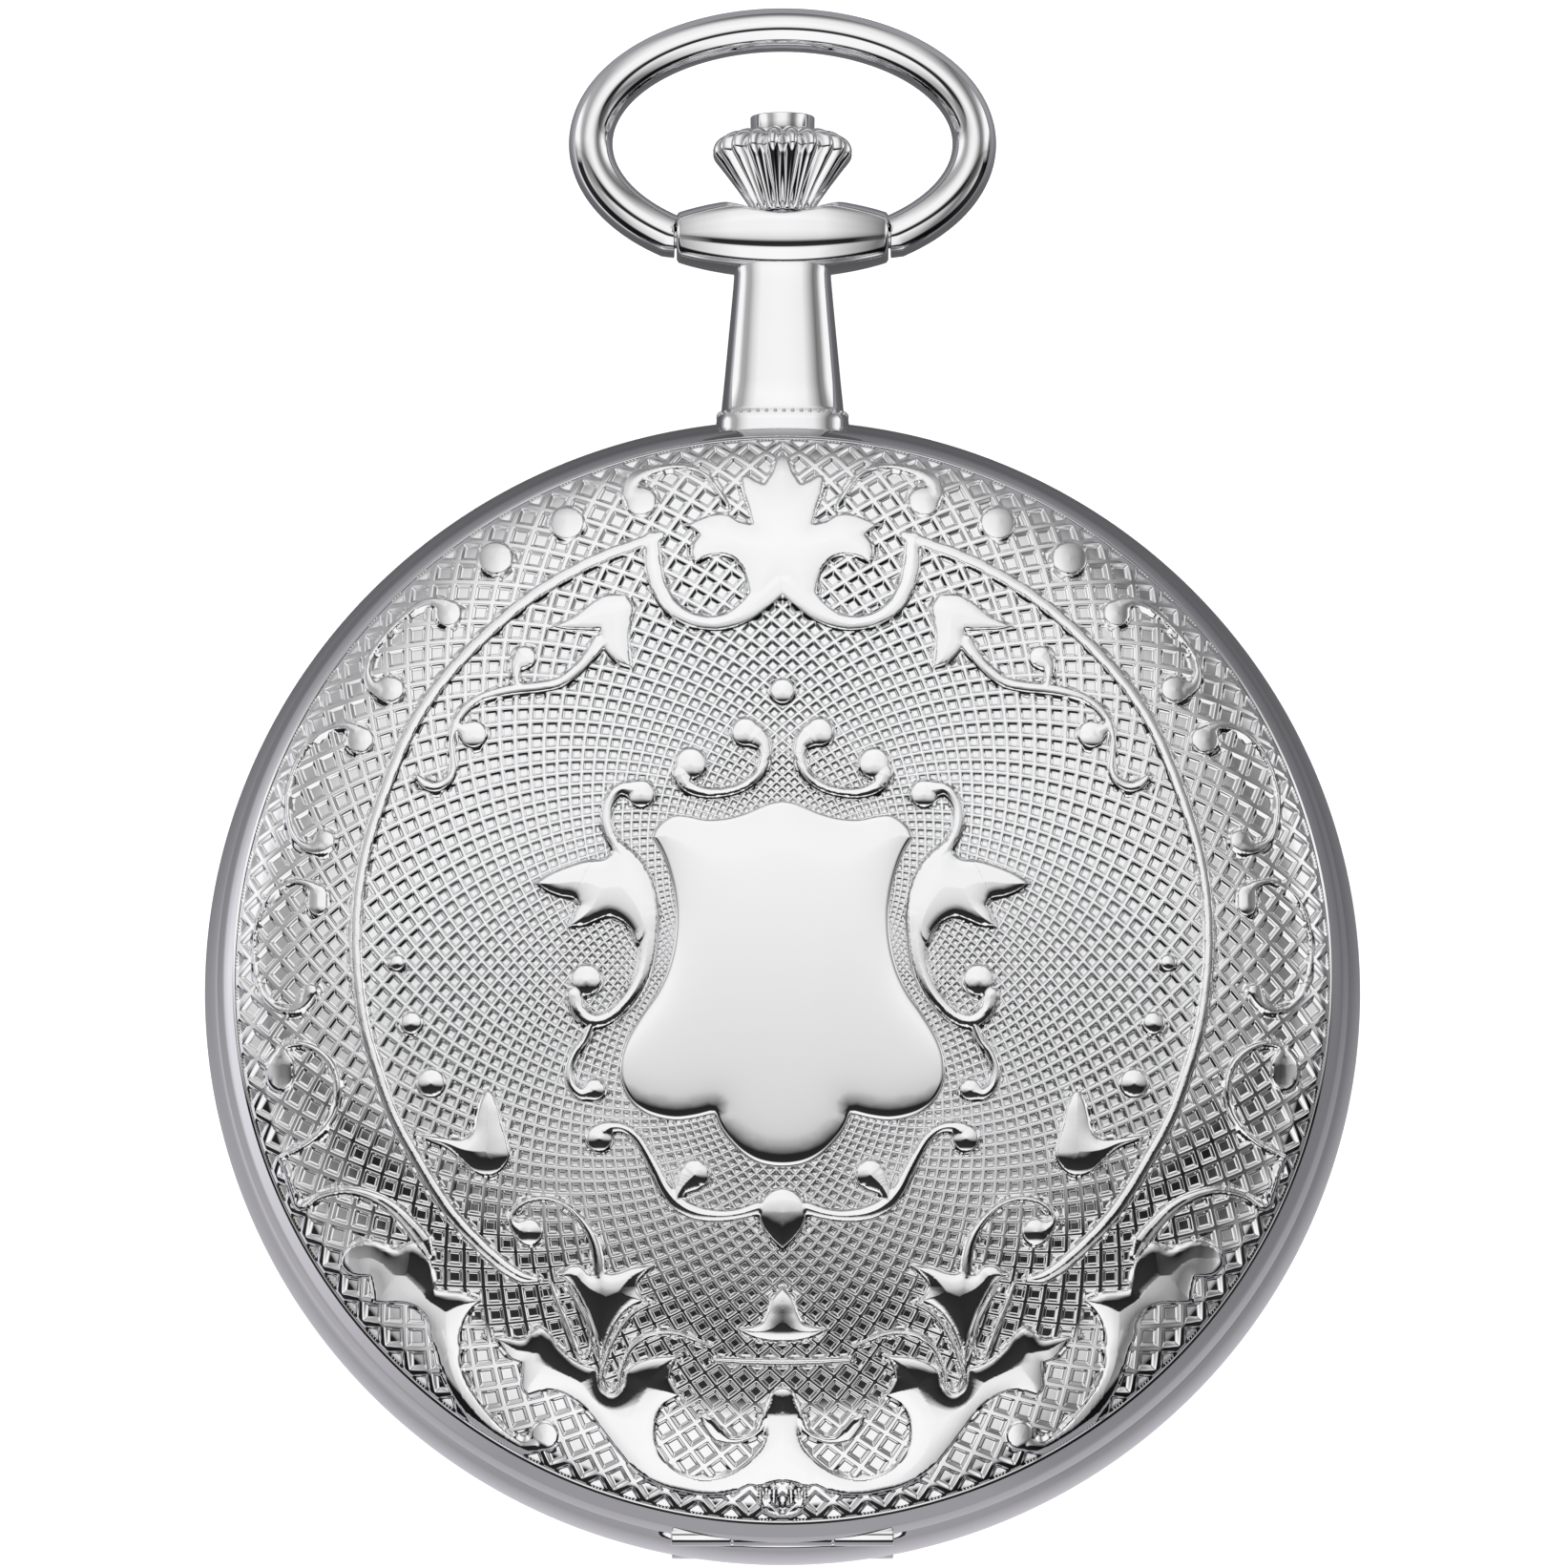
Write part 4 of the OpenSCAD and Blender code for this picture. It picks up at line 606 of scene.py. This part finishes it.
def build_case():
    rise = 0.8
    bulge = (BAND_HALF ** 2 + rise ** 2) / (2 * rise)
    a = np.linspace(-math.asin(BAND_HALF / bulge), math.asin(BAND_HALF / bulge), 25)
    outer = np.stack([CASE_R - bulge + bulge * np.cos(a), STEM_Z + bulge * np.sin(a)], -1)
    # the flat edges under the covers have extra points, so that the hinge grooves bend smoothly
    flat = (22.55, 22.3, 22.05, 21.95)
    inner = rounded([(22.7, BAND_TOP), *[(r, BAND_TOP, 0) for r in flat],
                     (SPIGOT_R, BAND_TOP, .04), (SPIGOT_R, BAND_TOP + SPIGOT_H, .06),
                     (BORE_R, BAND_TOP + SPIGOT_H, .04), (BORE_R, BAND_BOTTOM - SPIGOT_H, .04),
                     (SPIGOT_R, BAND_BOTTOM - SPIGOT_H, .06), (SPIGOT_R, BAND_BOTTOM, .04),
                     *[(r, BAND_BOTTOM, 0) for r in flat[::-1]], (22.7, BAND_BOTTOM)])
    band = lathe("case_band", np.concatenate([outer, inner]), "case", chrome, segs=512,
                 replaces=["case_middle"], slot="case_metal")
    # hollows the band under each hinge, where the edge of the cover swings down
    v = np.array([p.co for p in band.data.vertices]) / MM
    for z, sign, deep in ((FRONT_HINGE_Z, 1, 0.52), (BACK_HINGE_Z, -1, 0.75)):
        dy, dz = v[:, 1] + HINGE_Y, v[:, 2] - z
        reach = np.where(np.abs(v[:, 0]) < 4.8, deep, 0)
        hit = (np.hypot(dy, dz) < reach) & (v[:, 1] < 0)
        v[hit, 2] = z - sign * np.sqrt(reach[hit] ** 2 - dy[hit] ** 2)
    band.data.vertices.foreach_set("co", (v * MM).ravel())
    band.data.update()
    for side, z in (("front", FRONT_HINGE_Z), ("back", BACK_HINGE_Z)):
        near, far = BAND_KNUCKLE
        for k, (x0, x1) in enumerate(((-far, -near), (near, far))):
            lathe(f"{side}_case_knuckle_{k + 1}", knuckle(BORE_IN_BAND, x0, x1), "case", chrome, "x",
                  (0, -HINGE_Y, z), 32, slot="case_metal")
        lathe(f"{side}_cover_knuckle", knuckle(BORE_IN_COVER, -COVER_KNUCKLE, COVER_KNUCKLE),
              side + "_cover", chrome, "x", (0, -HINGE_Y, z), 32, slot="case_metal")


def build_back_cover():
    a = np.radians(np.linspace(0, 90, 22))
    rise = BAND_BOTTOM - SEAM
    r = 15 + (LID_R - 15) * np.sin(a) ** 0.8
    z = rise * 0.75 * (1 - np.cos(a)) ** 1.2
    outer = np.stack([r, z], -1)
    wall = 0.5
    prof = [(0.02, 0), (6, 0), (12, 0), *outer[:-1], (LID_R, outer[-1][1]), (LID_R, rise - 0.05),
            (LID_R - 0.05, rise), (LID_R - 0.6, rise), (LID_R - COVER_LIP, rise - 0.05)]
    inner = np.stack([r * (LID_R - COVER_LIP) / LID_R, z + wall], -1)[::-1]
    prof += [tuple(q) for q in inner[1:]] + [(10, wall), (0.02, wall)]
    lathe("back_shell", prof, "back_cover", chrome, replaces=["back_cover"], slot="case_metal")


def sweep_bow():
    start = math.asin(CUT_X / BOW_A) - math.pi / 2
    a = np.linspace(start, math.pi - start, 241)
    px, py = BOW_A * np.cos(a), BOW_Y + BOW_B * np.sin(a)
    nx, ny = BOW_B * np.cos(a), BOW_A * np.sin(a)
    s = np.hypot(nx, ny)
    nx, ny = nx / s, ny / s
    b = np.linspace(0, 2 * math.pi, 48, endpoint=False)
    x = px[:, None] + nx[:, None] * WIRE_R * np.cos(b)
    y = py[:, None] + ny[:, None] * WIRE_R * np.cos(b)
    z = STEM_Z + WIRE_R * np.sin(b) + 0 * x
    x[0], x[-1] = CUT_X, -CUT_X
    v = np.stack([x, y, z], -1)
    # small rounding and a flat face at each cut end
    caps = []
    for row, sign in ((0, 1), (-1, -1)):
        c = v[row].mean(0)
        for k in (0.97, 0.9, 0.3):
            ring = c + (v[row] - c) * k
            ring[:, 0] = sign * (CUT_X - (0.03 if k < 0.95 else 0.02))
            caps.append(ring)
    rows = np.stack([caps[2], caps[1], caps[0], *v, caps[3], caps[4], caps[5]])
    for k, side in enumerate((1, -1)):
        pin = [(0.02, 3.52), (PIN_R - 0.05, 3.52), (PIN_R, 3.57), (PIN_R, 4.7), (0.02, 4.7)]
        lathe(f"bow_pin_{k + 1}", [(q[0], q[1] * side) for q in pin[::side]], "bow", steel, "x",
              (0, BAR_Y, STEM_Z), 48, slot="bow_metal")
    add_mesh("bow_ring", rows.reshape(-1, 3), grid_faces(len(rows), 48), "bow", chrome,
             replaces=["bow"], slot="bow_metal", sharp=50)


def build_crown():
    y0, flutes = CROWN_Y, 20
    prof = catmull([(1.2, 0.05), (1.38, 0.35), (1.75, 0.9), (2.15, 1.45), (2.55, 1.98), (2.78, 2.28),
                    (2.87, 2.5), (2.84, 2.75), (2.7, 3.0), (2.4, 3.22), (2.0, 3.34), (1.5, 3.35)],
                   steps=4) + (0, y0)
    cols = flutes * 16
    a = np.arange(cols) / cols * 2 * math.pi
    t = np.linspace(0, 1, len(prof))[:, None]
    # rounded ribs with a narrow groove between them
    wave = np.abs(np.sin(a * flutes / 2))
    cut = 0.4 * np.clip(np.minimum(t / 0.1, (1 - t) / 0.12), 0, 1) * (0.7 + 0.5 * t)
    r = prof[:, 0][:, None] - cut * (1 - wave)
    y = prof[:, 1][:, None] - 0.12 * np.clip((t - 0.75) / 0.2, 0, 1) * (1 - wave) + 0 * r
    low = [(0.62, y0), (1.1, y0)]
    extra = [(1.38, y0 + 3.3), (1.37, y0 + 2.65), (1.0, y0 + 2.6)]
    rows = [np.stack([q[0] + 0 * a, q[1] + 0 * a], -1) for q in low]
    rows += [np.stack([r[i], y[i]], -1) for i in range(len(prof))]
    rows += [np.stack([q[0] + 0 * a, q[1] + 0 * a], -1) for q in extra]
    rows = np.stack(rows)
    v = np.stack([rows[..., 0] * np.cos(a), rows[..., 1], STEM_Z + rows[..., 0] * np.sin(a)], -1)
    add_mesh("crown_fluted", v.reshape(-1, 3), flipped(grid_faces(len(rows), cols)), "crown", chrome,
             replaces=["crown"], slot="crown_metal", sharp=40)
    # the button's rod starts outside the case, so that it stays clear when pressed
    rod, foot, top = CASE_R + 1.7, y0 + 3.2, BAR_Y + 5
    prof = rounded([(0.02, rod), (0.22, rod, .03), (0.22, foot, 0), (1.3, foot, .03),
                    (1.32, top, .06), (1.1, top, .04), (1.0, top - 0.03, .03), (0.02, top - 0.02)])
    lathe("push_button", prof * (1, -1), "crown_button", chrome, "y", (0, 0, STEM_Z), 96,
          replaces=["crown_button"], slot="button_metal")


def superellipse(rx, rz, power, n=96):
    a = np.linspace(0, 2 * math.pi, n, endpoint=False)
    c, s = np.cos(a), np.sin(a)
    return np.sign(c) * np.abs(c) ** (2 / power) * rx, np.sign(s) * np.abs(s) ** (2 / power) * rz


def build_pendant():
    # neck, flared at its foot and rising into the cross bar
    rows = []
    sections = ((22.6, 2.75, 1.95, 3.6), (23.3, 2.72, 1.95, 3.6), (23.55, 2.68, 1.93, 3.6),
                (23.72, 2.56, 1.82, 3.2), (23.9, 2.5, 1.77, 3), (25.0, 2.39, 1.68, 3),
                (26.5, 2.25, 1.58, 3), (28.0, 2.11, 1.47, 3), (29.0, 2.02, 1.4, 3),
                (29.5, 1.98, 1.36, 3), (29.9, 2.02, 1.3, 2.8), (30.3, 2.2, 1.2, 2.6),
                (30.8, 2.5, 1.05, 2.2))
    for y, rx, rz, p in sections:
        x, z = superellipse(rx, rz, p)
        rows.append(np.stack([x, y + 0 * x, STEM_Z + z], -1))
    rows = np.stack(rows)
    add_mesh("pendant_neck", rows.reshape(-1, 3), flipped(grid_faces(len(rows), 96)), "case", chrome,
             slot="pendant_metal", sharp=60)
    # a beaded line round the foot
    beads = []
    n = 44
    turn = [i * math.pi / 4 for i in range(8)]
    ico = [(math.cos(i) * math.cos(j), math.sin(i) * math.cos(j), math.sin(j))
           for j in (-math.pi / 4, 0, math.pi / 4) for i in turn]
    ball = np.array(ico + [(0, 0, -1), (0, 0, 1)]) * 0.085
    bf = grid_faces(3, 8, True, False) + [(24, (i + 1) % 8, i) for i in range(8)]
    bf += [(25, 16 + i, 16 + (i + 1) % 8) for i in range(8)]
    x, z = superellipse(2.62, 1.9, 3.8, 400)
    arc = np.concatenate([[0], np.cumsum(np.hypot(np.diff(x), np.diff(z)))])
    s = np.linspace(0, arc[-1], n, endpoint=False)
    verts, faces = [], []
    for k, (bx, bz) in enumerate(zip(np.interp(s, arc, x), np.interp(s, arc, z))):
        verts.append(ball + (bx, 23.66, STEM_Z + bz))
        faces += [tuple(i + k * 26 for i in f) for f in bf]
    add_mesh("pendant_beads", np.concatenate(verts), faces, "case", chrome, slot="pendant_metal", sharp=0)
    # cross bar, with a dish for the crown
    half = BAR_HALF
    t = np.linspace(-half, half, 97)
    r = 1.0 + 0.6 * (1 - (np.abs(t) / half) ** 2.0) ** 0.9
    end = [(0.02, half - 0.95), (PIN_HOLE, half - 0.95), (PIN_HOLE, half - 0.02),
           (PIN_HOLE + 0.03, half), (0.88, half), (0.95, half - 0.02)]
    prof = np.concatenate([[(q[0], -q[1]) for q in end], np.stack([r, t], -1)[1:-1], end[::-1]])
    a = np.linspace(0, 2 * math.pi, 144, endpoint=False)
    rad, x = prof[:, 0][:, None], prof[:, 1][:, None] + 0 * a
    power = 2 / (3.0 - 1.0 * np.clip(np.abs(x) / half, 0, 1) ** 2)
    y, z = [rad * np.sign(q) * np.abs(q) ** power for q in (np.sin(a), np.cos(a))]
    rho = np.hypot(x, z)
    dish = np.maximum(0.64 + 0.86 * (rho - 1.3), 0.64)
    y = -smooth_max(-y, -dish, 0.35)
    v = np.stack([x, BAR_Y + y, STEM_Z + z], -1)
    add_mesh("pendant_bar", v.reshape(-1, 3), flipped(grid_faces(len(prof), 144)), "case", chrome,
             replaces=["pendant"], slot="pendant_metal", sharp=60)


build_case()
build_back_cover()
sweep_bow()
build_crown()
build_pendant()


# ---------------------------------------------------------------- everything else keeps its CAD shape

def ink(name, shapes, z):
    """Thin raised markings from convex outlines."""
    verts, faces = [], []
    for shape in shapes:
        area = sum(a[0] * b[1] - b[0] * a[1] for a, b in zip(shape, shape[1:] + shape[:1]))
        shape = shape if area > 0 else shape[::-1]
        n, base = len(shape), len(verts)
        verts += [(*q, z) for q in shape] + [(*q, z + 0.015) for q in shape]
        faces += [tuple(range(base + n - 1, base - 1, -1)), tuple(range(base + n, base + 2 * n))]
        faces += [(base + i, base + (i + 1) % n, base + n + (i + 1) % n, base + n + i) for i in range(n)]
    add_mesh(name, verts, faces, "case", black_ink, slot="dial_enamel", smooth=False)


def box(x0, x1, y0, y1):
    return [(x0, y0), (x1, y0), (x1, y1), (x0, y1)]


def glyph(letter, h):
    """The strokes of one Roman letter, and its width."""
    feet = lambda xs, y: [box(a, b, y, y + 0.09) for a, b in xs]
    if letter == "I":
        return [box(-0.2, 0.2, 0, h)] + feet([(-0.36, 0.36)], 0) + feet([(-0.36, 0.36)], h - 0.09), 0.84
    if letter == "V":
        strokes = [[(-0.86, h), (-0.44, h), (0.14, 0), (-0.1, 0)],
                   [(0.62, h), (0.76, h), (0.12, 0), (-0.02, 0)]]
        return strokes + feet([(-1.0, -0.3), (0.45, 0.93)], h - 0.09), 1.9
    strokes = [[(-0.84, h), (-0.42, h), (0.84, 0), (0.42, 0)],
               [(0.56, h), (0.7, h), (-0.56, 0), (-0.7, 0)]]
    return strokes + feet([(-0.98, -0.28), (0.39, 0.87)], h - 0.09) + feet(
        [(-0.87, -0.39), (0.28, 0.98)], 0), 1.95


def spun(shape, at, angle, r=0.0):
    """Turns a shape clockwise about a centre, with its own origin at distance r from it."""
    c, s = math.cos(angle), math.sin(angle)
    return [(at[0] + x * c + (y + r) * s, at[1] - x * s + (y + r) * c) for x, y in shape]


def track(at, r0, r1, big):
    """Two rings with sixty lines between them, every fifth line heavier."""
    shapes = []
    for k in range(60):
        w = big if k % 5 == 0 else big * 0.45
        shapes.append(spun(box(-w / 2, w / 2, r0, r1), at, k * math.pi / 30))
    for r in (r0, r1):
        d = 0.03
        for k in range(120):
            a, b = k * math.pi / 60, (k + 1) * math.pi / 60
            corners = (r - d, a), (r + d, a), (r + d, b), (r - d, b)
            shapes.append([(at[0] + q * math.sin(t), at[1] + q * math.cos(t)) for q, t in corners])
    return shapes


def build_dial():
    numerals = []
    for hour, text in enumerate("XII I II III IV V VI VII VIII IX X XI".split()):
        strokes = [glyph(c, 3.0) for c in text]
        x = -sum(w for _, w in strokes) / 2
        for shapes, w in strokes:
            numerals += [spun([(p + x + w / 2, q) for p, q in shape], (0, 0), hour * math.pi / 6, 13.3)
                         for shape in shapes]
            x += w
    ink("dial_numerals", numerals, DIAL_Z)
    ink("minute_track", track((0, 0), 17.0, 17.8, 0.22), DIAL_Z)
    ink("seconds_track", track(SECONDS_AT, 3.6, 4.15, 0.12), DIAL_Z - 0.12)


def dress(nodes, mat):
    for n in nodes.split():
        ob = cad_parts[n]
        ob.data.materials.clear()
        ob.data.materials.append(mat)
        ob.data.polygons.foreach_set("use_smooth", np.ones(len(ob.data.polygons), bool))
        weld = ob.modifiers.new("weld", "WELD")
        weld.merge_threshold = 2e-6
        split = ob.modifiers.new("edges", "EDGE_SPLIT")
        split.split_angle = math.radians(32)


dress("front_bezel rear_bezel dial_surround", chrome)
build_dial()
dress("front_hinge_pin back_hinge_pin catch_spring lift_spring winding_stem barrel_arbor "
      "ratchet_wheel crown_wheel click click_spring escape_wheel pallet_fork balance_staff "
      "cannon_pinion winding_pinion sliding_clutch setting_lever yoke regulator mainspring", steel)
dress("pendant_sleeve stem_ring barrel barrel_cover centre_wheel third_wheel fourth_wheel "
      "minute_wheel hour_wheel balance_wheel", gilt)
dress("movement_ring main_plate barrel_bridge train_bridge balance_cock pallet_cock", nickel)
dress("case_screws bridge_screws ratchet_screw crown_wheel_screw hour_hand minute_hand seconds_hand", blue)
dress("hairspring", spring_blue)
dress("jewels pallet_stones", ruby)
dress("dial", enamel)
dress("front_crystal rear_crystal", glass)


# ---------------------------------------------------------------- stage, light and camera

def plane(name, size, at, turn, mat):
    me = bpy.data.meshes.new(name)
    s = size / 2
    me.from_pydata([(-s, -s, 0), (s, -s, 0), (s, s, 0), (-s, s, 0)], [], [(0, 1, 2, 3)])
    me.materials.append(mat)
    ob = bpy.data.objects.new(name, me)
    bpy.context.scene.collection.objects.link(ob)
    ob.location, ob.rotation_euler = at, turn
    return ob


def ramp_of(nt, source, stops, low=-1.0, high=1.0):
    """A grey value from a number, through stops of (number, grey)."""
    m = nt.nodes.new("ShaderNodeMapRange")
    m.inputs["From Min"].default_value, m.inputs["From Max"].default_value = low, high
    nt.links.new(source, m.inputs["Value"])
    r = nt.nodes.new("ShaderNodeFloatCurve")
    curve = r.mapping.curves[0]
    r.mapping.use_clip = False
    pts = [((p - low) / (high - low), v) for p, v in stops]
    while len(curve.points) < len(pts):
        curve.points.new(0.5, 0.5)
    for c, (p, v) in zip(curve.points, pts):
        c.location = (p, v)
        c.handle_type = "VECTOR"
    r.mapping.update()
    nt.links.new(m.outputs[0], r.inputs["Value"])
    return r.outputs[0]


def maths(nt, kind, *args):
    m = nt.nodes.new("ShaderNodeMath")
    m.operation = kind
    for k, v in enumerate(args):
        if isinstance(v, (int, float)):
            m.inputs[k].default_value = v
        else:
            nt.links.new(v, m.inputs[k])
    return m.outputs[0]


def build_stage():
    """A pale floor, and just over it a card that only reflections see.

    The card's brightness over distance and direction was set against the photo.
    """
    floor = material("floor_white", (0.94, 0.94, 0.94), 0, 0.9, 0.02, 0.004, 20,
                     Emission_Color=(1, 1, 1, 1), Emission_Strength=0.6)
    plane("floor", 6, (0, 0, 0), (0, 0, 0), floor)
    m = bpy.data.materials.new("reflected_table")
    m.use_nodes = True
    nt = m.node_tree
    nt.nodes.remove(nt.nodes["Principled BSDF"])
    em = nt.nodes.new("ShaderNodeEmission")
    nt.links.new(em.outputs[0], nt.nodes["Material Output"].inputs["Surface"])
    co = nt.nodes.new("ShaderNodeTexCoord")
    sep = nt.nodes.new("ShaderNodeSeparateXYZ")
    nt.links.new(co.outputs["Object"], sep.inputs[0])
    x, y = sep.outputs["X"], sep.outputs["Y"]
    r = maths(nt, "SQRT", maths(nt, "ADD", maths(nt, "MULTIPLY", x, x), maths(nt, "MULTIPLY", y, y)))
    s = maths(nt, "DIVIDE", y, maths(nt, "ADD", r, 1e-6))
    side = maths(nt, "DIVIDE", x, maths(nt, "ADD", r, 1e-6))
    near = ramp_of(nt, s, [(-1, 0.4), (-0.5, 0.33), (-0.2, 0.24), (0.1, 0.15), (0.6, 0.09), (1, 0.06)])
    under = ramp_of(nt, r, [(0, 1.7), (0.0245, 1.7), (0.029, 0.9), (0.034, 0.9), (3, 0.9)], 0, 3)
    near = maths(nt, "MULTIPLY", near, under)
    far = ramp_of(nt, s, [(-1, 0.38), (-0.85, 0.34), (-0.5, 0.6), (-0.2, 0.8), (0.1, 0.9),
                          (0.6, 0.5), (1, 0.35)])
    far = maths(nt, "MULTIPLY", far, ramp_of(nt, side, [(-1, 1), (0.4, 1), (0.85, 0.4), (1, 0.25)]))
    em.inputs["Color"].default_value = (0.96, 0.94, 1.0, 1)
    out = ramp_of(nt, r, [(0, 0), (0.033, 0), (0.040, 1), (3, 1)], 0, 3)
    near = maths(nt, "MULTIPLY", near, maths(nt, "SUBTRACT", 1, out))
    total = maths(nt, "ADD", near, maths(nt, "MULTIPLY", far, out))
    nt.links.new(total, em.inputs["Strength"])
    card = plane("table_card", 5.8, (0, 0, 0.00001), (0, 0, 0), m)
    card.visible_camera = card.visible_diffuse = card.visible_shadow = card.visible_transmission = False


def build_world():
    """Even white light, and for reflections only, bright and dark bands.

    The bands were set against the photo's greys.
    """
    world = bpy.data.worlds.new("studio")
    bpy.context.scene.world = world
    world.use_nodes = True
    nt = world.node_tree
    bg = nt.nodes["Background"]
    co = nt.nodes.new("ShaderNodeTexCoord")
    sep = nt.nodes.new("ShaderNodeSeparateXYZ")
    nt.links.new(co.outputs["Generated"], sep.inputs[0])
    north = ramp_of(nt, sep.outputs["Y"], [
        (-1, 1.05), (-0.3, 1.05), (-0.17, 0.95), (-0.05, 0.75), (0.03, 0.62), (0.07, 0.64),
        (0.12, 0.8), (0.19, 1.0), (0.3, 1.0), (0.45, 1.05), (0.8, 0.95), (0.9, 0.7), (0.96, 0.3),
        (1, 0.12)])
    # a dark gap overhead, and dark ground low in the south
    gap = ramp_of(nt, sep.outputs["Y"], [
        (-1, 1), (-0.2, 1), (-0.15, 0.04), (0.01, 0.03), (0.05, 0.55), (0.08, 1), (1, 1)])
    gap_end = ramp_of(nt, sep.outputs["X"], [
        (-1, 1), (-0.6, 0.8), (-0.35, 0), (0.35, 0), (0.6, 0.6), (1, 0.8)])
    gap = maths(nt, "MAXIMUM", gap, gap_end)
    low = ramp_of(nt, sep.outputs["Z"], [(-1, 0.02), (0.45, 0.02), (0.54, 1), (1, 1)])
    low = maths(nt, "MAXIMUM", low, ramp_of(nt, sep.outputs["Y"], [(-1, 0), (-0.08, 0.0), (0.02, 1), (1, 1)]))
    north = maths(nt, "MULTIPLY", north, maths(nt, "MULTIPLY", gap, low))
    east = ramp_of(nt, sep.outputs["X"], [
        (-1, 0.35), (-0.97, 1.0), (-0.88, 1.05), (-0.75, 0.45), (-0.6, 0.4), (-0.42, 0.75),
        (-0.25, 0.97), (0, 1.0), (0.2, 0.93), (0.4, 0.5), (0.55, 0.18), (0.7, 0.3), (0.86, 1.0),
        (0.95, 1.05), (0.98, 0.2), (1, 0.1)])
    look = maths(nt, "MULTIPLY", north, east)
    path = nt.nodes.new("ShaderNodeLightPath")
    glossy = path.outputs["Is Glossy Ray"]
    total = maths(nt, "ADD", maths(nt, "MULTIPLY", look, glossy), maths(nt, "SUBTRACT", 1, glossy))
    nt.links.new(total, bg.inputs["Strength"])
    bg.inputs["Color"].default_value = (1, 1, 1, 1)


build_stage()
build_world()
bpy.context.scene.view_settings.view_transform = "Standard"

cam = bpy.data.cameras.new("camera")
cam_ob = bpy.data.objects.new("camera", cam)
bpy.context.scene.collection.objects.link(cam_ob)
tilt = math.radians(9)          # estimated from the photo, towards 6 o'clock
target = Vector((0.06, 8.525, STEM_Z)) * MM
back = Vector((0, -math.sin(tilt), math.cos(tilt)))
distance, seen_width = 0.9, 0.06388
cam_ob.location = target + back * distance
cam_ob.rotation_mode = "QUATERNION"
cam_ob.rotation_quaternion = (-back).to_track_quat("-Z", "Y")
cam.sensor_width = 36
cam.lens = cam.sensor_width * distance / seen_width
cam.clip_start, cam.clip_end = 0.05, 10
bpy.context.scene.camera = cam_ob
